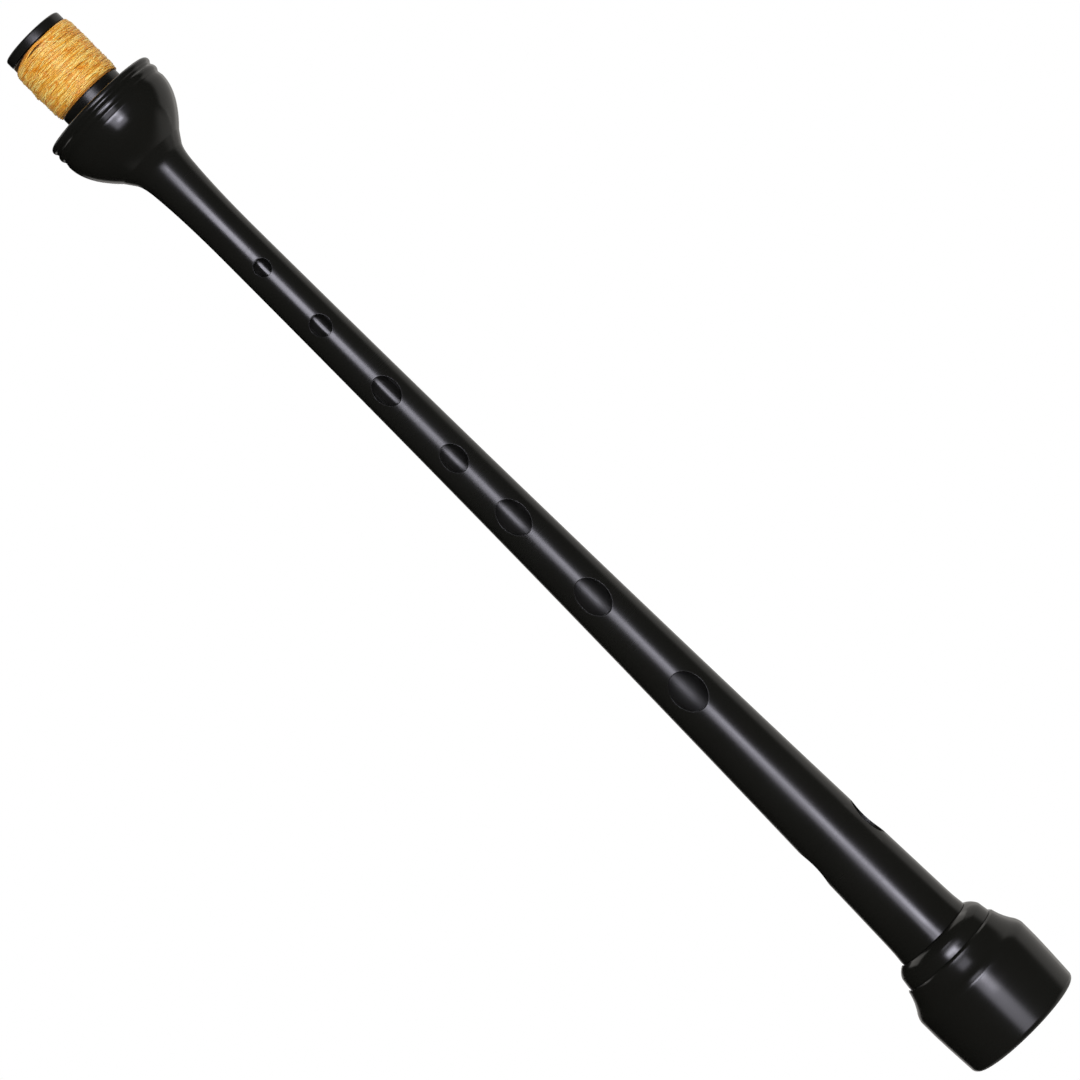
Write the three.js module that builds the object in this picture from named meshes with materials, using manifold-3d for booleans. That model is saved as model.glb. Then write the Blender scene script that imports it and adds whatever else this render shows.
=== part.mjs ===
import * as THREE from 'three';
import { mergeVertices, toCreasedNormals } from 'three/addons/utils/BufferGeometryUtils.js';
import Module from 'manifold-3d';

// A pipe chanter in millimetres. It stands on its sole with +Z up along the bore and the finger
// holes facing -Y. The origin is the middle of the sole's flat foot.

const wasm = await Module();
wasm.setup();

// Whole instrument
const chanterLength = 366;
const fitGap = 0.3;
const cutOverrun = 1;

// Tenon that enters the stock, from its end down to the bulb
const tenonRimRadius = 9.3;
const tenonRimHeight = 2.65;
const tenonEdgeRound = 0.6;
const hempSeatDepth = 1.65;
const hempSeatHeight = 18.6;
const tenonShoulderRadius = 9.38;
const tenonShoulderHeight = 3.25;

// Hemp wound on the tenon: plain lower layers and one outer layer of loops
const hempRadius = 10.22;
const yarnDiameter = 0.66;
const hempCrownDrop = 0.3;
const hempCrownPower = 6;
const hempLoops = 16;
const stepsPerLoop = 24;
const yarnSides = 6;
const leastYarnGap = 0.4;

// Bulb with two turned beads round its widest part
const bulbRadius = 17.19;
const bulbHeight = 13;
const bulbLipHeight = 1.4;
const beadProud = 0.28;
const beadHeight = 2.4;
const topBeadRadius = 1.05;
const grooveDepth = 0.25;
const grooveWidth = 0.4;

// Cove between the bulb and the stem
const coveRadius = 10.2;
const coveHeight = 8.1;
const coveFlankRadius = 8.25;
const coveFlankHeight = 2.8;
const coveHollowShares = [0.28, 0.76];
const bulbUndersideShares = [1, 0.54];

// Stem, a slim pipe that widens towards its foot
const neckRadius = 6.02;
const neckTopRadius = 6.87;
const neckHeight = 23;
const neckBendShares = [0, 0.6];
const stemFootRadius = 11.3;
const stemFlareRadius = 10.8;
const stemFlareHeight = 5.5;
const stemTaperShares = [0.896, 0.508];

// Spigot at the stem's foot that passes through the collar into the sole
const spigotStep = 1.3;
const spigotWall = 1.75;

// Bore, a tapered seat for the reed above a narrow throat and a long cone
const reedSeatRadius = 4.25;
const reedSeatTaper = 0.5;
const reedSeatDepth = 18;
const reedSeatChamfer = 0.4;
const throatRadius = 2;
const throatLength = 2;

// Sole, a wide cup round the foot
const soleRadius = 18.66;
const soleHeight = 27.8;
const soleBellyHeight = 14.5;
const soleWallHeight = 19.2;
const soleTaper = 0.59;
const soleFootRound = 1.7;
const soleStep = 0.75;
const soleStepChamfer = 0.5;
const soleEdgeShares = [0.23, 0.304];
const soleEdgeBendShares = [0, 0.48];
const soleFlareBendShares = [0.7, 0.44];
const soleLedgeHeight = 4;
const mouthStep = 0.45;
const mouthFlare = 0.5;
const mouthChamfer = 0.6;

// Collar between the stem and the sole
const collarRadius = 14.6;
const collarHeight = 5.65;
const collarSideHeight = 3.1;
const collarSideDrop = 0.48;
const collarShoulderRadius = 12;
const collarShoulderDrop = 0.3;
const collarBendShares = [0.34, 0.64];
const collarLip = 0.2;

// Finger holes down the front, from the highest to the lowest, as shares of the chanter's length,
// of the longest hole's length and of the widest hole's width
const longestHoleLength = 11.75;
const widestHoleWidth = 9;
const fingerHoleHeightShares = [0.7672, 0.7089, 0.643, 0.5753, 0.5158, 0.4359, 0.3407];
const fingerHoleLengthShares = [0.443, 0.545, 0.757, 0.723, 0.936, 0.97, 1];
const fingerHoleWidthShares = [0.522, 0.622, 0.744, 0.722, 0.856, 0.889, 1];

// Thumb hole at the back and the pair of sound holes through the sides, whose heading in degrees is
// counted from the front
const thumbHoleHeightShare = 0.806;
const thumbHoleLength = 6.2;
const thumbHoleWidth = 5.5;
const soundHoleHeightShare = 0.1858;
const soundHoleLength = 12;
const soundHoleWidth = 8.2;
const soundHoleHeading = 85;

// Smoothness
const turnedSides = 40;
const holeSides = 20;
const curveSteps = 5;
const bulbSteps = 7;
const stemSteps = 9;
const edgeSteps = 4;
const creaseAngle = Math.PI / 6;
const samePointShare = 1e-7;

// Heights worked out from the sizes above
const rimBottom = chanterLength - tenonRimHeight;
const shoulderTop = rimBottom - hempSeatHeight;
const bulbTop = shoulderTop - tenonShoulderHeight;
const topBeadMiddle = bulbTop - topBeadRadius;
const upperGroove = topBeadMiddle - topBeadRadius - grooveWidth / 2;
const lowerBeadMiddle = upperGroove - grooveWidth / 2 - beadHeight / 2;
const lowerGroove = lowerBeadMiddle - beadHeight / 2 - grooveWidth / 2;
const bulbWidest = lowerGroove - bulbLipHeight;
const bulbBottom = bulbWidest - bulbHeight;
const coveBottom = bulbBottom - coveHeight;
const neckBottom = coveBottom - neckHeight;
const collarBottom = soleHeight + fitGap;
const collarTop = collarBottom + collarHeight;
const stemBottom = collarTop + fitGap;
const stemFlareTop = stemBottom + stemFlareHeight;
const spigotBottom = soleLedgeHeight + fitGap;
const reedSeatBottom = chanterLength - reedSeatDepth;
const throatBottom = reedSeatBottom - throatLength;

// Radii worked out from the sizes above
const hempSeatRadius = tenonRimRadius - hempSeatDepth;
const beadRadius = bulbRadius + beadProud;
const grooveRadius = bulbRadius - grooveDepth;
const spigotRadius = stemFootRadius - spigotStep;
const boreFootRadius = spigotRadius - spigotWall;
const socketRadius = spigotRadius + fitGap;

// Solids and meshes

function toSolid(geometry) {
  geometry.deleteAttribute('normal');
  geometry.deleteAttribute('uv');
  const merged = mergeVertices(geometry, chanterLength * samePointShare);
  const vertProperties = Float32Array.from(merged.attributes.position.array);
  const triVerts = Uint32Array.from(merged.index.array);
  return new wasm.Manifold(new wasm.Mesh({ numProp: 3, vertProperties, triVerts }));
}

function toGeometry(solid) {
  const mesh = solid.getMesh();
  const geometry = new THREE.BufferGeometry();
  geometry.setAttribute('position', new THREE.BufferAttribute(mesh.vertProperties, 3));
  geometry.setIndex(new THREE.BufferAttribute(mesh.triVerts, 1));
  return toCreasedNormals(geometry, creaseAngle);
}

function pieceFrom(name, geometry, material) {
  const mesh = new THREE.Mesh(geometry, material);
  mesh.name = name;
  return mesh;
}

// A turned piece: its closed outline of radius and height spun round the bore's line
function turned(outline) {
  const points = outline.concat([outline[0]]);
  const geometry = new THREE.LatheGeometry(points, turnedSides);
  geometry.rotateX(Math.PI / 2);
  return geometry;
}

function point(radius, height) {
  return new THREE.Vector2(radius, height);
}

// A point part of the way between two others, with its own share for radius and for height
function between(start, end, [radiusShare, heightShare]) {
  const { lerp } = THREE.MathUtils;
  return point(lerp(start.x, end.x, radiusShare), lerp(start.y, end.y, heightShare));
}

// Points of a curve that bends from start to end, pulled towards one middle point
function bend(start, pull, end, steps) {
  return new THREE.QuadraticBezierCurve(start, pull, end).getPoints(steps);
}

// Points of a round edge between two angles in degrees, 0 pointing away from the bore's line
function roundEdge(middle, radius, startAngle, endAngle, steps) {
  const points = [];
  for (let i = 0; i <= steps; i += 1) {
    const angle = THREE.MathUtils.degToRad(startAngle + ((endAngle - startAngle) * i) / steps);
    points.push(point(middle.x + radius * Math.cos(angle), middle.y + radius * Math.sin(angle)));
  }
  return points;
}

// Joins runs of points and leaves out a point that repeats the one before it
function joinRuns(...runs) {
  const points = [];
  for (const candidate of runs.flat()) {
    const last = points[points.length - 1];
    if (!last || last.distanceTo(candidate) > chanterLength * samePointShare) {
      points.push(candidate);
    }
  }
  return points;
}

// Body

// Straight spigot, slight flare above the collar and the long hollow taper of the stem
function stemOutline() {
  const flare = point(stemFlareRadius, stemFlareTop);
  const neck = point(neckRadius, neckBottom);
  return joinRuns(
    [point(spigotRadius, spigotBottom), point(spigotRadius, stemBottom)],
    [point(stemFootRadius, stemBottom)],
    bend(flare, between(flare, neck, stemTaperShares), neck, stemSteps),
  );
}

// Neck that swells into the cove, and the cove's straight flank up to the bulb's lower edge
function coveOutline() {
  const neck = point(neckRadius, neckBottom);
  const neckTop = point(neckTopRadius, coveBottom);
  const flank = point(coveFlankRadius, bulbBottom - coveFlankHeight);
  return joinRuns(
    bend(neck, between(neck, neckTop, neckBendShares), neckTop, curveSteps),
    bend(neckTop, between(neckTop, flank, coveHollowShares), flank, curveSteps),
    [point(coveRadius, bulbBottom)],
  );
}

// Rounded underside, widest line, lower bead, upper bead and flat top of the bulb
function bulbOutline() {
  const edge = point(coveRadius, bulbBottom);
  const widest = point(bulbRadius, bulbWidest);
  const halfBead = beadHeight / 2;
  const beadRise = beadRadius - grooveRadius;
  const beadArcRadius = (halfBead * halfBead + beadRise * beadRise) / (2 * beadRise);
  const beadAngle = THREE.MathUtils.radToDeg(Math.asin(halfBead / beadArcRadius));
  const lowerBead = point(beadRadius - beadArcRadius, lowerBeadMiddle);
  const topBead = point(beadRadius - topBeadRadius, topBeadMiddle);
  const topBeadAngle = THREE.MathUtils.radToDeg(Math.acos(1 - beadRise / topBeadRadius));
  return joinRuns(
    bend(edge, between(edge, widest, bulbUndersideShares), widest, bulbSteps),
    [point(grooveRadius, lowerGroove)],
    roundEdge(lowerBead, beadArcRadius, -beadAngle, beadAngle, edgeSteps),
    [point(grooveRadius, upperGroove)],
    roundEdge(topBead, topBeadRadius, -topBeadAngle, 90, curveSteps),
  );
}

// Shoulder, seat of the hemp and end rim of the tenon
function tenonOutline() {
  const edge = point(tenonRimRadius - tenonEdgeRound, chanterLength - tenonEdgeRound);
  return joinRuns(
    [point(tenonShoulderRadius, bulbTop), point(tenonShoulderRadius, shoulderTop)],
    [point(hempSeatRadius, shoulderTop), point(hempSeatRadius, rimBottom)],
    [point(tenonRimRadius, rimBottom)],
    roundEdge(edge, tenonEdgeRound, 0, 90, edgeSteps),
  );
}

// Reed seat, throat and cone, from the tenon's end down to the spigot's end
function boreOutline() {
  return [
    point(reedSeatRadius + reedSeatChamfer, chanterLength),
    point(reedSeatRadius, chanterLength - reedSeatChamfer),
    point(reedSeatRadius - reedSeatTaper, reedSeatBottom),
    point(throatRadius, reedSeatBottom - throatLength / 2),
    point(throatRadius, throatBottom),
    point(boreFootRadius, spigotBottom),
  ];
}

// An oval cutter that reaches from the bore's line outwards, long side along the bore
function holeCutter(length, width, height, reach, start, heading) {
  const oval = new THREE.Shape().absellipse(0, 0, width / 2, length / 2, 0, Math.PI * 2);
  const settings = { depth: reach - start, bevelEnabled: false, curveSegments: holeSides };
  const geometry = new THREE.ExtrudeGeometry(oval, settings);
  geometry.translate(0, 0, start);
  geometry.rotateX(Math.PI / 2);
  geometry.rotateZ(heading);
  geometry.translate(0, 0, height);
  return toSolid(geometry);
}

function cutFingerHoles(body) {
  let cut = body;
  fingerHoleHeightShares.forEach((heightShare, index) => {
    const length = longestHoleLength * fingerHoleLengthShares[index];
    const width = widestHoleWidth * fingerHoleWidthShares[index];
    const reach = stemFootRadius + cutOverrun;
    cut = cut.subtract(holeCutter(length, width, chanterLength * heightShare, reach, 0, 0));
  });
  return cut;
}

function cutThumbHole(body) {
  const height = chanterLength * thumbHoleHeightShare;
  const reach = stemFootRadius + cutOverrun;
  return body.subtract(holeCutter(thumbHoleLength, thumbHoleWidth, height, reach, 0, Math.PI));
}

function cutSoundHoles(body) {
  const height = chanterLength * soundHoleHeightShare;
  const reach = stemFootRadius + cutOverrun;
  const heading = THREE.MathUtils.degToRad(soundHoleHeading);
  return body.subtract(holeCutter(soundHoleLength, soundHoleWidth, height, reach, -reach, heading));
}

function buildBody(material) {
  const outline = joinRuns(stemOutline(), coveOutline(), bulbOutline(), tenonOutline(), boreOutline());
  const body = cutSoundHoles(cutThumbHole(cutFingerHoles(toSolid(turned(outline)))));
  return pieceFrom('chanter_body', toGeometry(body), material);
}

// Sole and collar

// Cup with a rounded foot, a wall that widens up to its belly and a flare that narrows to the collar
function buildSole(material) {
  const topRadius = collarRadius + soleStep;
  const footMiddle = point(soleRadius - soleTaper - soleFootRound, soleFootRound);
  const wallTop = point(soleRadius, soleWallHeight);
  const flareTop = point(topRadius, soleHeight - soleStepChamfer);
  const edge = between(wallTop, flareTop, soleEdgeShares);
  const mouthRadius = boreFootRadius + mouthStep;
  const outline = joinRuns(
    roundEdge(footMiddle, soleFootRound, -90, 0, edgeSteps),
    [point(soleRadius, soleBellyHeight)],
    bend(wallTop, between(wallTop, edge, soleEdgeBendShares), edge, curveSteps),
    bend(edge, between(edge, flareTop, soleFlareBendShares), flareTop, curveSteps),
    [point(topRadius - soleStepChamfer, soleHeight), point(socketRadius, soleHeight)],
    [point(socketRadius, soleLedgeHeight), point(mouthRadius, soleLedgeHeight)],
    [point(mouthRadius + mouthFlare, mouthChamfer), point(mouthRadius + mouthFlare + mouthChamfer, 0)],
  );
  return pieceFrom('sole_cup', toGeometry(toSolid(turned(outline))), material);
}

// Ring with a slightly narrowing side, a rounded shoulder and a nearly flat top round the stem
function buildCollar(material) {
  const sideTop = point(collarRadius - collarSideDrop, collarBottom + collarSideHeight);
  const shoulder = point(collarShoulderRadius, collarTop - collarShoulderDrop);
  const outline = joinRuns(
    [point(collarRadius, collarBottom)],
    bend(sideTop, between(sideTop, shoulder, collarBendShares), shoulder, edgeSteps),
    [point(stemFootRadius + collarLip, collarTop), point(socketRadius, collarTop)],
    [point(socketRadius, collarBottom)],
  );
  return pieceFrom('sole_collar', toGeometry(toSolid(turned(outline))), material);
}

// Hemp

// How far the hemp's side falls in near its two ends, at a share of the winding's height
function crownDropAt(share) {
  return hempCrownDrop * Math.abs(2 * share - 1) ** hempCrownPower;
}

// Lower layers: a plain sleeve between the shoulder and the rim, under the outer loops
function buildHempCore(material) {
  const innerRadius = hempSeatRadius + fitGap;
  const outerRadius = hempRadius - yarnDiameter - fitGap;
  const bottom = shoulderTop + fitGap;
  const height = hempSeatHeight - 2 * fitGap;
  const side = [];
  for (let i = 0; i <= curveSteps * 2; i += 1) {
    const share = i / (curveSteps * 2);
    side.push(point(outerRadius - crownDropAt(share), bottom + height * share));
  }
  const outline = joinRuns([point(innerRadius, bottom)], side, [point(innerRadius, bottom + height)]);
  return pieceFrom('hemp_under_layers', toGeometry(toSolid(turned(outline))), material);
}

// Route of the outer yarn: loops at a steady pitch, and a straight yarn's width at each end
function yarnRoute() {
  const clearance = fitGap + yarnDiameter / 2;
  const bottom = shoulderTop + clearance;
  const height = hempSeatHeight - 2 * clearance;
  const total = hempLoops * stepsPerLoop;
  const points = [];
  for (let i = 0; i <= total; i += 1) {
    const share = i / total;
    const angle = (i / stepsPerLoop) * Math.PI * 2;
    const radius = hempRadius - yarnDiameter / 2 - crownDropAt(share);
    const level = bottom + height * share;
    points.push(new THREE.Vector3(radius * Math.cos(angle), radius * Math.sin(angle), level));
  }
  const first = straightEnd(points[0], -1);
  const last = straightEnd(points[total], 1);
  return [first, ...points, last];
}

// A point one yarn's width past an end, level with it and square to the line from the bore
function straightEnd(end, turn) {
  const along = new THREE.Vector3(-end.y, end.x, 0).setLength(yarnDiameter * turn);
  return end.clone().add(along);
}

// Least distance between the sides of loops that lie beside each other
function yarnGap(route) {
  let least = Infinity;
  for (let i = 0; i < route.length; i += 1) {
    for (let j = i + Math.floor(stepsPerLoop / 2); j < route.length; j += 1) {
      least = Math.min(least, route[i].distanceTo(route[j]) - yarnDiameter);
    }
  }
  return least;
}

// A tube of few sides along the route, closed at both ends
function yarnGeometry(route) {
  const up = new THREE.Vector3(0, 0, 1);
  const positions = [];
  route.forEach((place, index) => {
    const before = route[Math.max(index - 1, 0)];
    const after = route[Math.min(index + 1, route.length - 1)];
    const along = after.clone().sub(before).normalize();
    const side = along.clone().cross(up).normalize();
    const lift = side.clone().cross(along);
    for (let k = 0; k < yarnSides; k += 1) {
      const angle = (k / yarnSides) * Math.PI * 2;
      const corner = place.clone().addScaledVector(side, (Math.cos(angle) * yarnDiameter) / 2);
      corner.addScaledVector(lift, (Math.sin(angle) * yarnDiameter) / 2);
      positions.push(corner.x, corner.y, corner.z);
    }
  });
  const geometry = new THREE.BufferGeometry();
  geometry.setAttribute('position', new THREE.Float32BufferAttribute(positions, 3));
  geometry.setIndex(yarnFaces(route.length));
  return geometry;
}

function yarnFaces(rings) {
  const faces = [];
  for (let ring = 0; ring < rings - 1; ring += 1) {
    for (let k = 0; k < yarnSides; k += 1) {
      const here = ring * yarnSides + k;
      const beside = ring * yarnSides + ((k + 1) % yarnSides);
      faces.push(here, here + yarnSides, beside);
      faces.push(beside, here + yarnSides, beside + yarnSides);
    }
  }
  const lastRing = (rings - 1) * yarnSides;
  for (let k = 1; k < yarnSides - 1; k += 1) {
    faces.push(0, k, k + 1);
    faces.push(lastRing, lastRing + k + 1, lastRing + k);
  }
  return faces;
}

function buildHempLoops(material) {
  const route = yarnRoute();
  const gap = yarnGap(route);
  console.log(`least gap of the yarn to itself ${gap.toFixed(3)} mm, wanted over ${leastYarnGap} mm`);
  return pieceFrom('hemp_outer_turns', toGeometry(toSolid(yarnGeometry(route))), material);
}

// Materials
const blackAcetal = { color: 0x1a1918, roughness: 0.34, metalness: 0 };
const waxedHemp = { color: 0xe0ab55, roughness: 0.8, metalness: 0 };

const chanter = new THREE.Group();
chanter.add(
  buildBody(new THREE.MeshStandardMaterial(blackAcetal)),
  buildCollar(new THREE.MeshStandardMaterial(blackAcetal)),
  buildSole(new THREE.MeshStandardMaterial(blackAcetal)),
  buildHempCore(new THREE.MeshStandardMaterial(waxedHemp)),
  buildHempLoops(new THREE.MeshStandardMaterial(waxedHemp)),
);

export default chanter;
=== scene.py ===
import logging
import math
import random
from dataclasses import dataclass, field
from enum import Enum
from typing import Any, Callable, Sequence

import bpy
from bpy.types import Light, Material, Node, NodeSocket, NodeTree, Object
from mathutils import Matrix, Vector, noise


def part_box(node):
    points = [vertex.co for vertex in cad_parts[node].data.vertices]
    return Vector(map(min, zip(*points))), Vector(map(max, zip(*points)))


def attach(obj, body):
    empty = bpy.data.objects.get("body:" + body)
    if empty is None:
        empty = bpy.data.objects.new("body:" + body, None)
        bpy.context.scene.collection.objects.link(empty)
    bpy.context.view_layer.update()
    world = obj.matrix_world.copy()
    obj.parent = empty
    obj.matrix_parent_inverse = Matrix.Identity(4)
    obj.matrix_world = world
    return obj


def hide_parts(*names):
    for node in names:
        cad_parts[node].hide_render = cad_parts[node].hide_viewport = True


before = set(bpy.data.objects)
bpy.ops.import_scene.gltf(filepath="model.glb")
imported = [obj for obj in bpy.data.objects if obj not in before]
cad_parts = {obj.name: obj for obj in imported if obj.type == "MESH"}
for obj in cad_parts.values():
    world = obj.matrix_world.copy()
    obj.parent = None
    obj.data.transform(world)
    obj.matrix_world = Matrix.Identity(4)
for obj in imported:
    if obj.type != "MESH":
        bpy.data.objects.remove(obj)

# A pipe chanter on its sole, +Z up the bore, finger holes towards -Y. Sizes here are millimetres,
# and each mesh is turned to metres when it is made.
MM = 0.001
# How wide the two seams are that show above and below the collar
SEAM = 0.09
LOG = logging.getLogger("chanter")

Spot = tuple[float, float]
Knot = tuple[float, float, float]


class Slot(Enum):
    """The record's material slots."""

    BODY = "turned_body"
    SOLE = "turned_sole"
    HEMP = "waxed_hemp"


def box_mm(node: str) -> tuple[Vector, Vector]:
    """Gives a construction node's lowest and highest corner in millimetres."""
    low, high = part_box(node)
    return low / MM, high / MM


# Colours and nodes


def linear(hex_colour: str) -> tuple[float, float, float, float]:
    """Turns an sRGB hex colour into the linear colour that shaders take.

    Args:
        hex_colour: Six hex digits after a hash sign.

    Returns:
        Linear red, green and blue, with full alpha.
    """
    digits = hex_colour.lstrip("#")
    parts = [int(digits[i : i + 2], 16) / 255 for i in (0, 2, 4)]
    red, green, blue = (p / 12.92 if p <= 0.04045 else ((p + 0.055) / 1.055) ** 2.4 for p in parts)
    return red, green, blue, 1.0


def add_node(tree: NodeTree, kind: str, inputs: dict[Any, Any] | None = None, **settings: Any) -> Node:
    """Adds a node with its settings, and sets or links its inputs.

    Args:
        tree: The tree that gets the node.
        kind: The node's type name.
        inputs: For each input, by name or number, a value, a socket, or a node that gives its first output.
        settings: The node's own properties.

    Returns:
        The new node.
    """
    node = tree.nodes.new(kind)
    for name, value in settings.items():
        setattr(node, name, value)
    for name, value in (inputs or {}).items():
        if isinstance(value, Node):
            value = next(socket for socket in value.outputs if socket.enabled)
        if isinstance(value, NodeSocket):
            tree.links.new(value, node.inputs[name])
        else:
            node.inputs[name].default_value = value
    return node


def new_material(name: str) -> tuple[Material, NodeTree]:
    """Makes an empty node material.

    Args:
        name: The material's name.

    Returns:
        The material and its cleared node tree.
    """
    material = bpy.data.materials.new(name)
    material.use_nodes = True
    material.node_tree.nodes.clear()
    return material, material.node_tree


@dataclass(frozen=True)
class Cloud:
    """A cloudy pattern in a finish: its real size, which of its levels count and what they become."""

    patch_mm: float
    levels: Spot
    values: Spot
    # How many times longer its patches are round the bore than along it
    longer_round: float = 1.0
    coarseness: float = 0.6
    detail: float = 3.0

    def add(self, tree: NodeTree, places: NodeSocket) -> tuple[Node, Node]:
        """Adds the pattern to a finish.

        Args:
            tree: The finish's node tree.
            places: The socket that gives each point's place.

        Returns:
            The bare pattern, and the pattern turned to its values.
        """
        stretch = (1 / self.longer_round, 1 / self.longer_round, 1.0)
        drawn = add_node(tree, "ShaderNodeMapping", {"Vector": places, "Scale": stretch})
        scale = 1 / (self.patch_mm * MM)
        cloud = {"Vector": drawn, "Scale": scale, "Detail": self.detail, "Roughness": self.coarseness}
        pattern = add_node(tree, "ShaderNodeTexNoise", cloud)
        (low, high), (first, last) = self.levels, self.values
        span = {"Value": pattern, "From Min": low, "From Max": high, "To Min": first, "To Max": last}
        return pattern, add_node(tree, "ShaderNodeMapRange", span)


@dataclass(frozen=True)
class TurnedAcetal:
    """Acetal rod, black all through, turned on a lathe and buffed.

    It is nearly black with a soft, slightly blurred gloss. The cutter leaves faint rings of duller
    and brighter gloss round the pipe, and handling leaves dull patches a few centimetres across.
    """

    name: str = "turned_black_acetal"
    base: str = "#141411"
    worn: str = "#191915"
    # Walls that are drilled or reamed are not buffed, so they look a little paler
    cut: str = "#21211E"
    ior: float = 1.48
    # Roughness goes from 0.18 where the buffing is bright to 0.25 in the dull patches
    patches: Cloud = Cloud(26.0, (0.3, 0.7), (0.18, 0.25), coarseness=0.55)
    # The real feed is about 0.15 mm a turn. It is drawn at 0.9 mm so that the rings show.
    ring_mm: float = 0.9
    ring_roughness: float = 0.05
    ring_detail: float = 2.0
    # A fine grain softens the edges of highlights
    grain_mm: float = 0.5
    grain_depth_mm: float = 0.0003
    grain_detail: float = 2.0
    # The bulb and the foot keep the bright buffing that fingers dull round the holes, and the tenon has
    # none: the heights between which each change sets in, and how far the roughness falls
    bright_top_mm: Knot = (316.0, 326.0, 0.085)
    bright_foot_mm: Knot = (60.0, 36.0, 0.045)
    dull_tenon_mm: Knot = (339.8, 341.0, -0.14)
    dull_holes_mm: Knot = (258.0, 236.0, -0.035)
    clear_stem_mm: Knot = (158.0, 136.0, 0.035)
    # A cone halfway through the wall parts the bore from the outside: its radius at the foot, its slope,
    # and how far to each side one blends into the other
    wall_cone: Spot = (9.1, 0.016)
    wall_blend_mm: float = 0.2
    # The reamer leaves the narrow end of the bore bright and the wide end dull: two heights, and how far
    # the roughness falls there
    reamed_mm: Spot = (118.0, 240.0)
    reamed_gloss: Spot = (-0.2, 0.09)

    def build(self) -> Material:
        """Makes the material.

        Returns:
            The finished material.
        """
        material, tree = new_material(self.name)
        places = add_node(tree, "ShaderNodeTexCoord").outputs["Object"]
        apart = add_node(tree, "ShaderNodeSeparateXYZ", {"Vector": places}).outputs
        across = add_node(tree, "ShaderNodeCombineXYZ", {"X": apart["X"], "Y": apart["Y"]})
        radius = add_node(tree, "ShaderNodeVectorMath", {0: across}, operation="LENGTH")
        inside = self.inside(tree, apart["Z"], radius)
        pattern, dull = self.patches.add(tree, places)
        colour = linear(self.base)
        for share, tint in ((pattern, self.worn), (inside, self.cut)):
            layer = {"Factor": share, "A": colour, "B": linear(tint)}
            colour = add_node(tree, "ShaderNodeMix", layer, data_type="RGBA")
        fine = {"Vector": places, "Scale": 1 / (self.grain_mm * MM), "Detail": self.grain_detail}
        grain = add_node(tree, "ShaderNodeTexNoise", fine)
        bump = add_node(tree, "ShaderNodeBump", {"Height": grain, "Distance": self.grain_depth_mm * MM})
        look = {
            "Base Color": colour,
            "Roughness": self.roughness(tree, apart["Z"], radius, dull, inside),
            "IOR": self.ior,
            "Normal": bump,
        }
        shader = add_node(tree, "ShaderNodeBsdfPrincipled", look)
        add_node(tree, "ShaderNodeOutputMaterial", {"Surface": shader})
        return material

    def inside(self, tree: NodeTree, height: NodeSocket, radius: Node) -> Node:
        """Adds a mask that is 1 in the bore and the inner half of the wall, and 0 outside.

        Args:
            tree: The material's node tree.
            height: The socket that gives each point's height.
            radius: The node that gives its distance from the bore's line.

        Returns:
            The node with the mask.
        """
        foot, slope = self.wall_cone
        cone = add_node(tree, "ShaderNodeMath", {0: height, 1: slope, 2: radius}, operation="MULTIPLY_ADD")
        outer, inner = (foot + self.wall_blend_mm) * MM, (foot - self.wall_blend_mm) * MM
        return add_node(tree, "ShaderNodeMapRange", {"Value": cone, "From Min": outer, "From Max": inner})

    def roughness(self, tree: NodeTree, height: NodeSocket, radius: Node, dull: Node, inside: Node) -> Node:
        """Adds the roughness: patches and lathe rings, less the fall in each bright zone and in the bore.

        Args:
            tree: The material's node tree.
            height: The socket that gives each point's height.
            radius: The node that gives its distance from the bore's line.
            dull: The node that gives the roughness of the patches.
            inside: The node that is 1 in the bore.

        Returns:
            The node with the roughness.
        """
        # Rings run round walls and flat ends alike, because they follow height and radius together
        total = add_node(tree, "ShaderNodeMath", {0: height, 1: radius}, operation="ADD")
        turns = add_node(tree, "ShaderNodeMath", {0: total, 1: 1 / (self.ring_mm * MM)}, operation="MULTIPLY")
        lathe = {"W": turns, "Scale": 1.0, "Detail": self.ring_detail}
        rings = add_node(tree, "ShaderNodeTexNoise", lathe, noise_dimensions="1D")
        bright = (self.bright_top_mm, self.bright_foot_mm)
        falls = []
        for start, end, drop in (*bright, self.dull_tenon_mm, self.dull_holes_mm, self.clear_stem_mm):
            zone = {"Value": height, "From Min": start * MM, "From Max": end * MM, "To Max": drop}
            falls.append(add_node(tree, "ShaderNodeMapRange", zone, interpolation_type="SMOOTHSTEP"))
        (low, high), (first, last) = self.reamed_mm, self.reamed_gloss
        bore = {"Value": height, "From Min": low * MM, "From Max": high * MM, "To Min": first, "To Max": last}
        reamed = add_node(tree, "ShaderNodeMapRange", bore)
        falls.append(add_node(tree, "ShaderNodeMath", {0: inside, 1: reamed}, operation="MULTIPLY"))
        ringed = {0: rings, 1: self.ring_roughness, 2: dull}
        rough = add_node(tree, "ShaderNodeMath", ringed, operation="MULTIPLY_ADD")
        for fall in falls:
            rough = add_node(tree, "ShaderNodeMath", {0: rough, 1: fall}, operation="SUBTRACT")
        return rough


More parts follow.
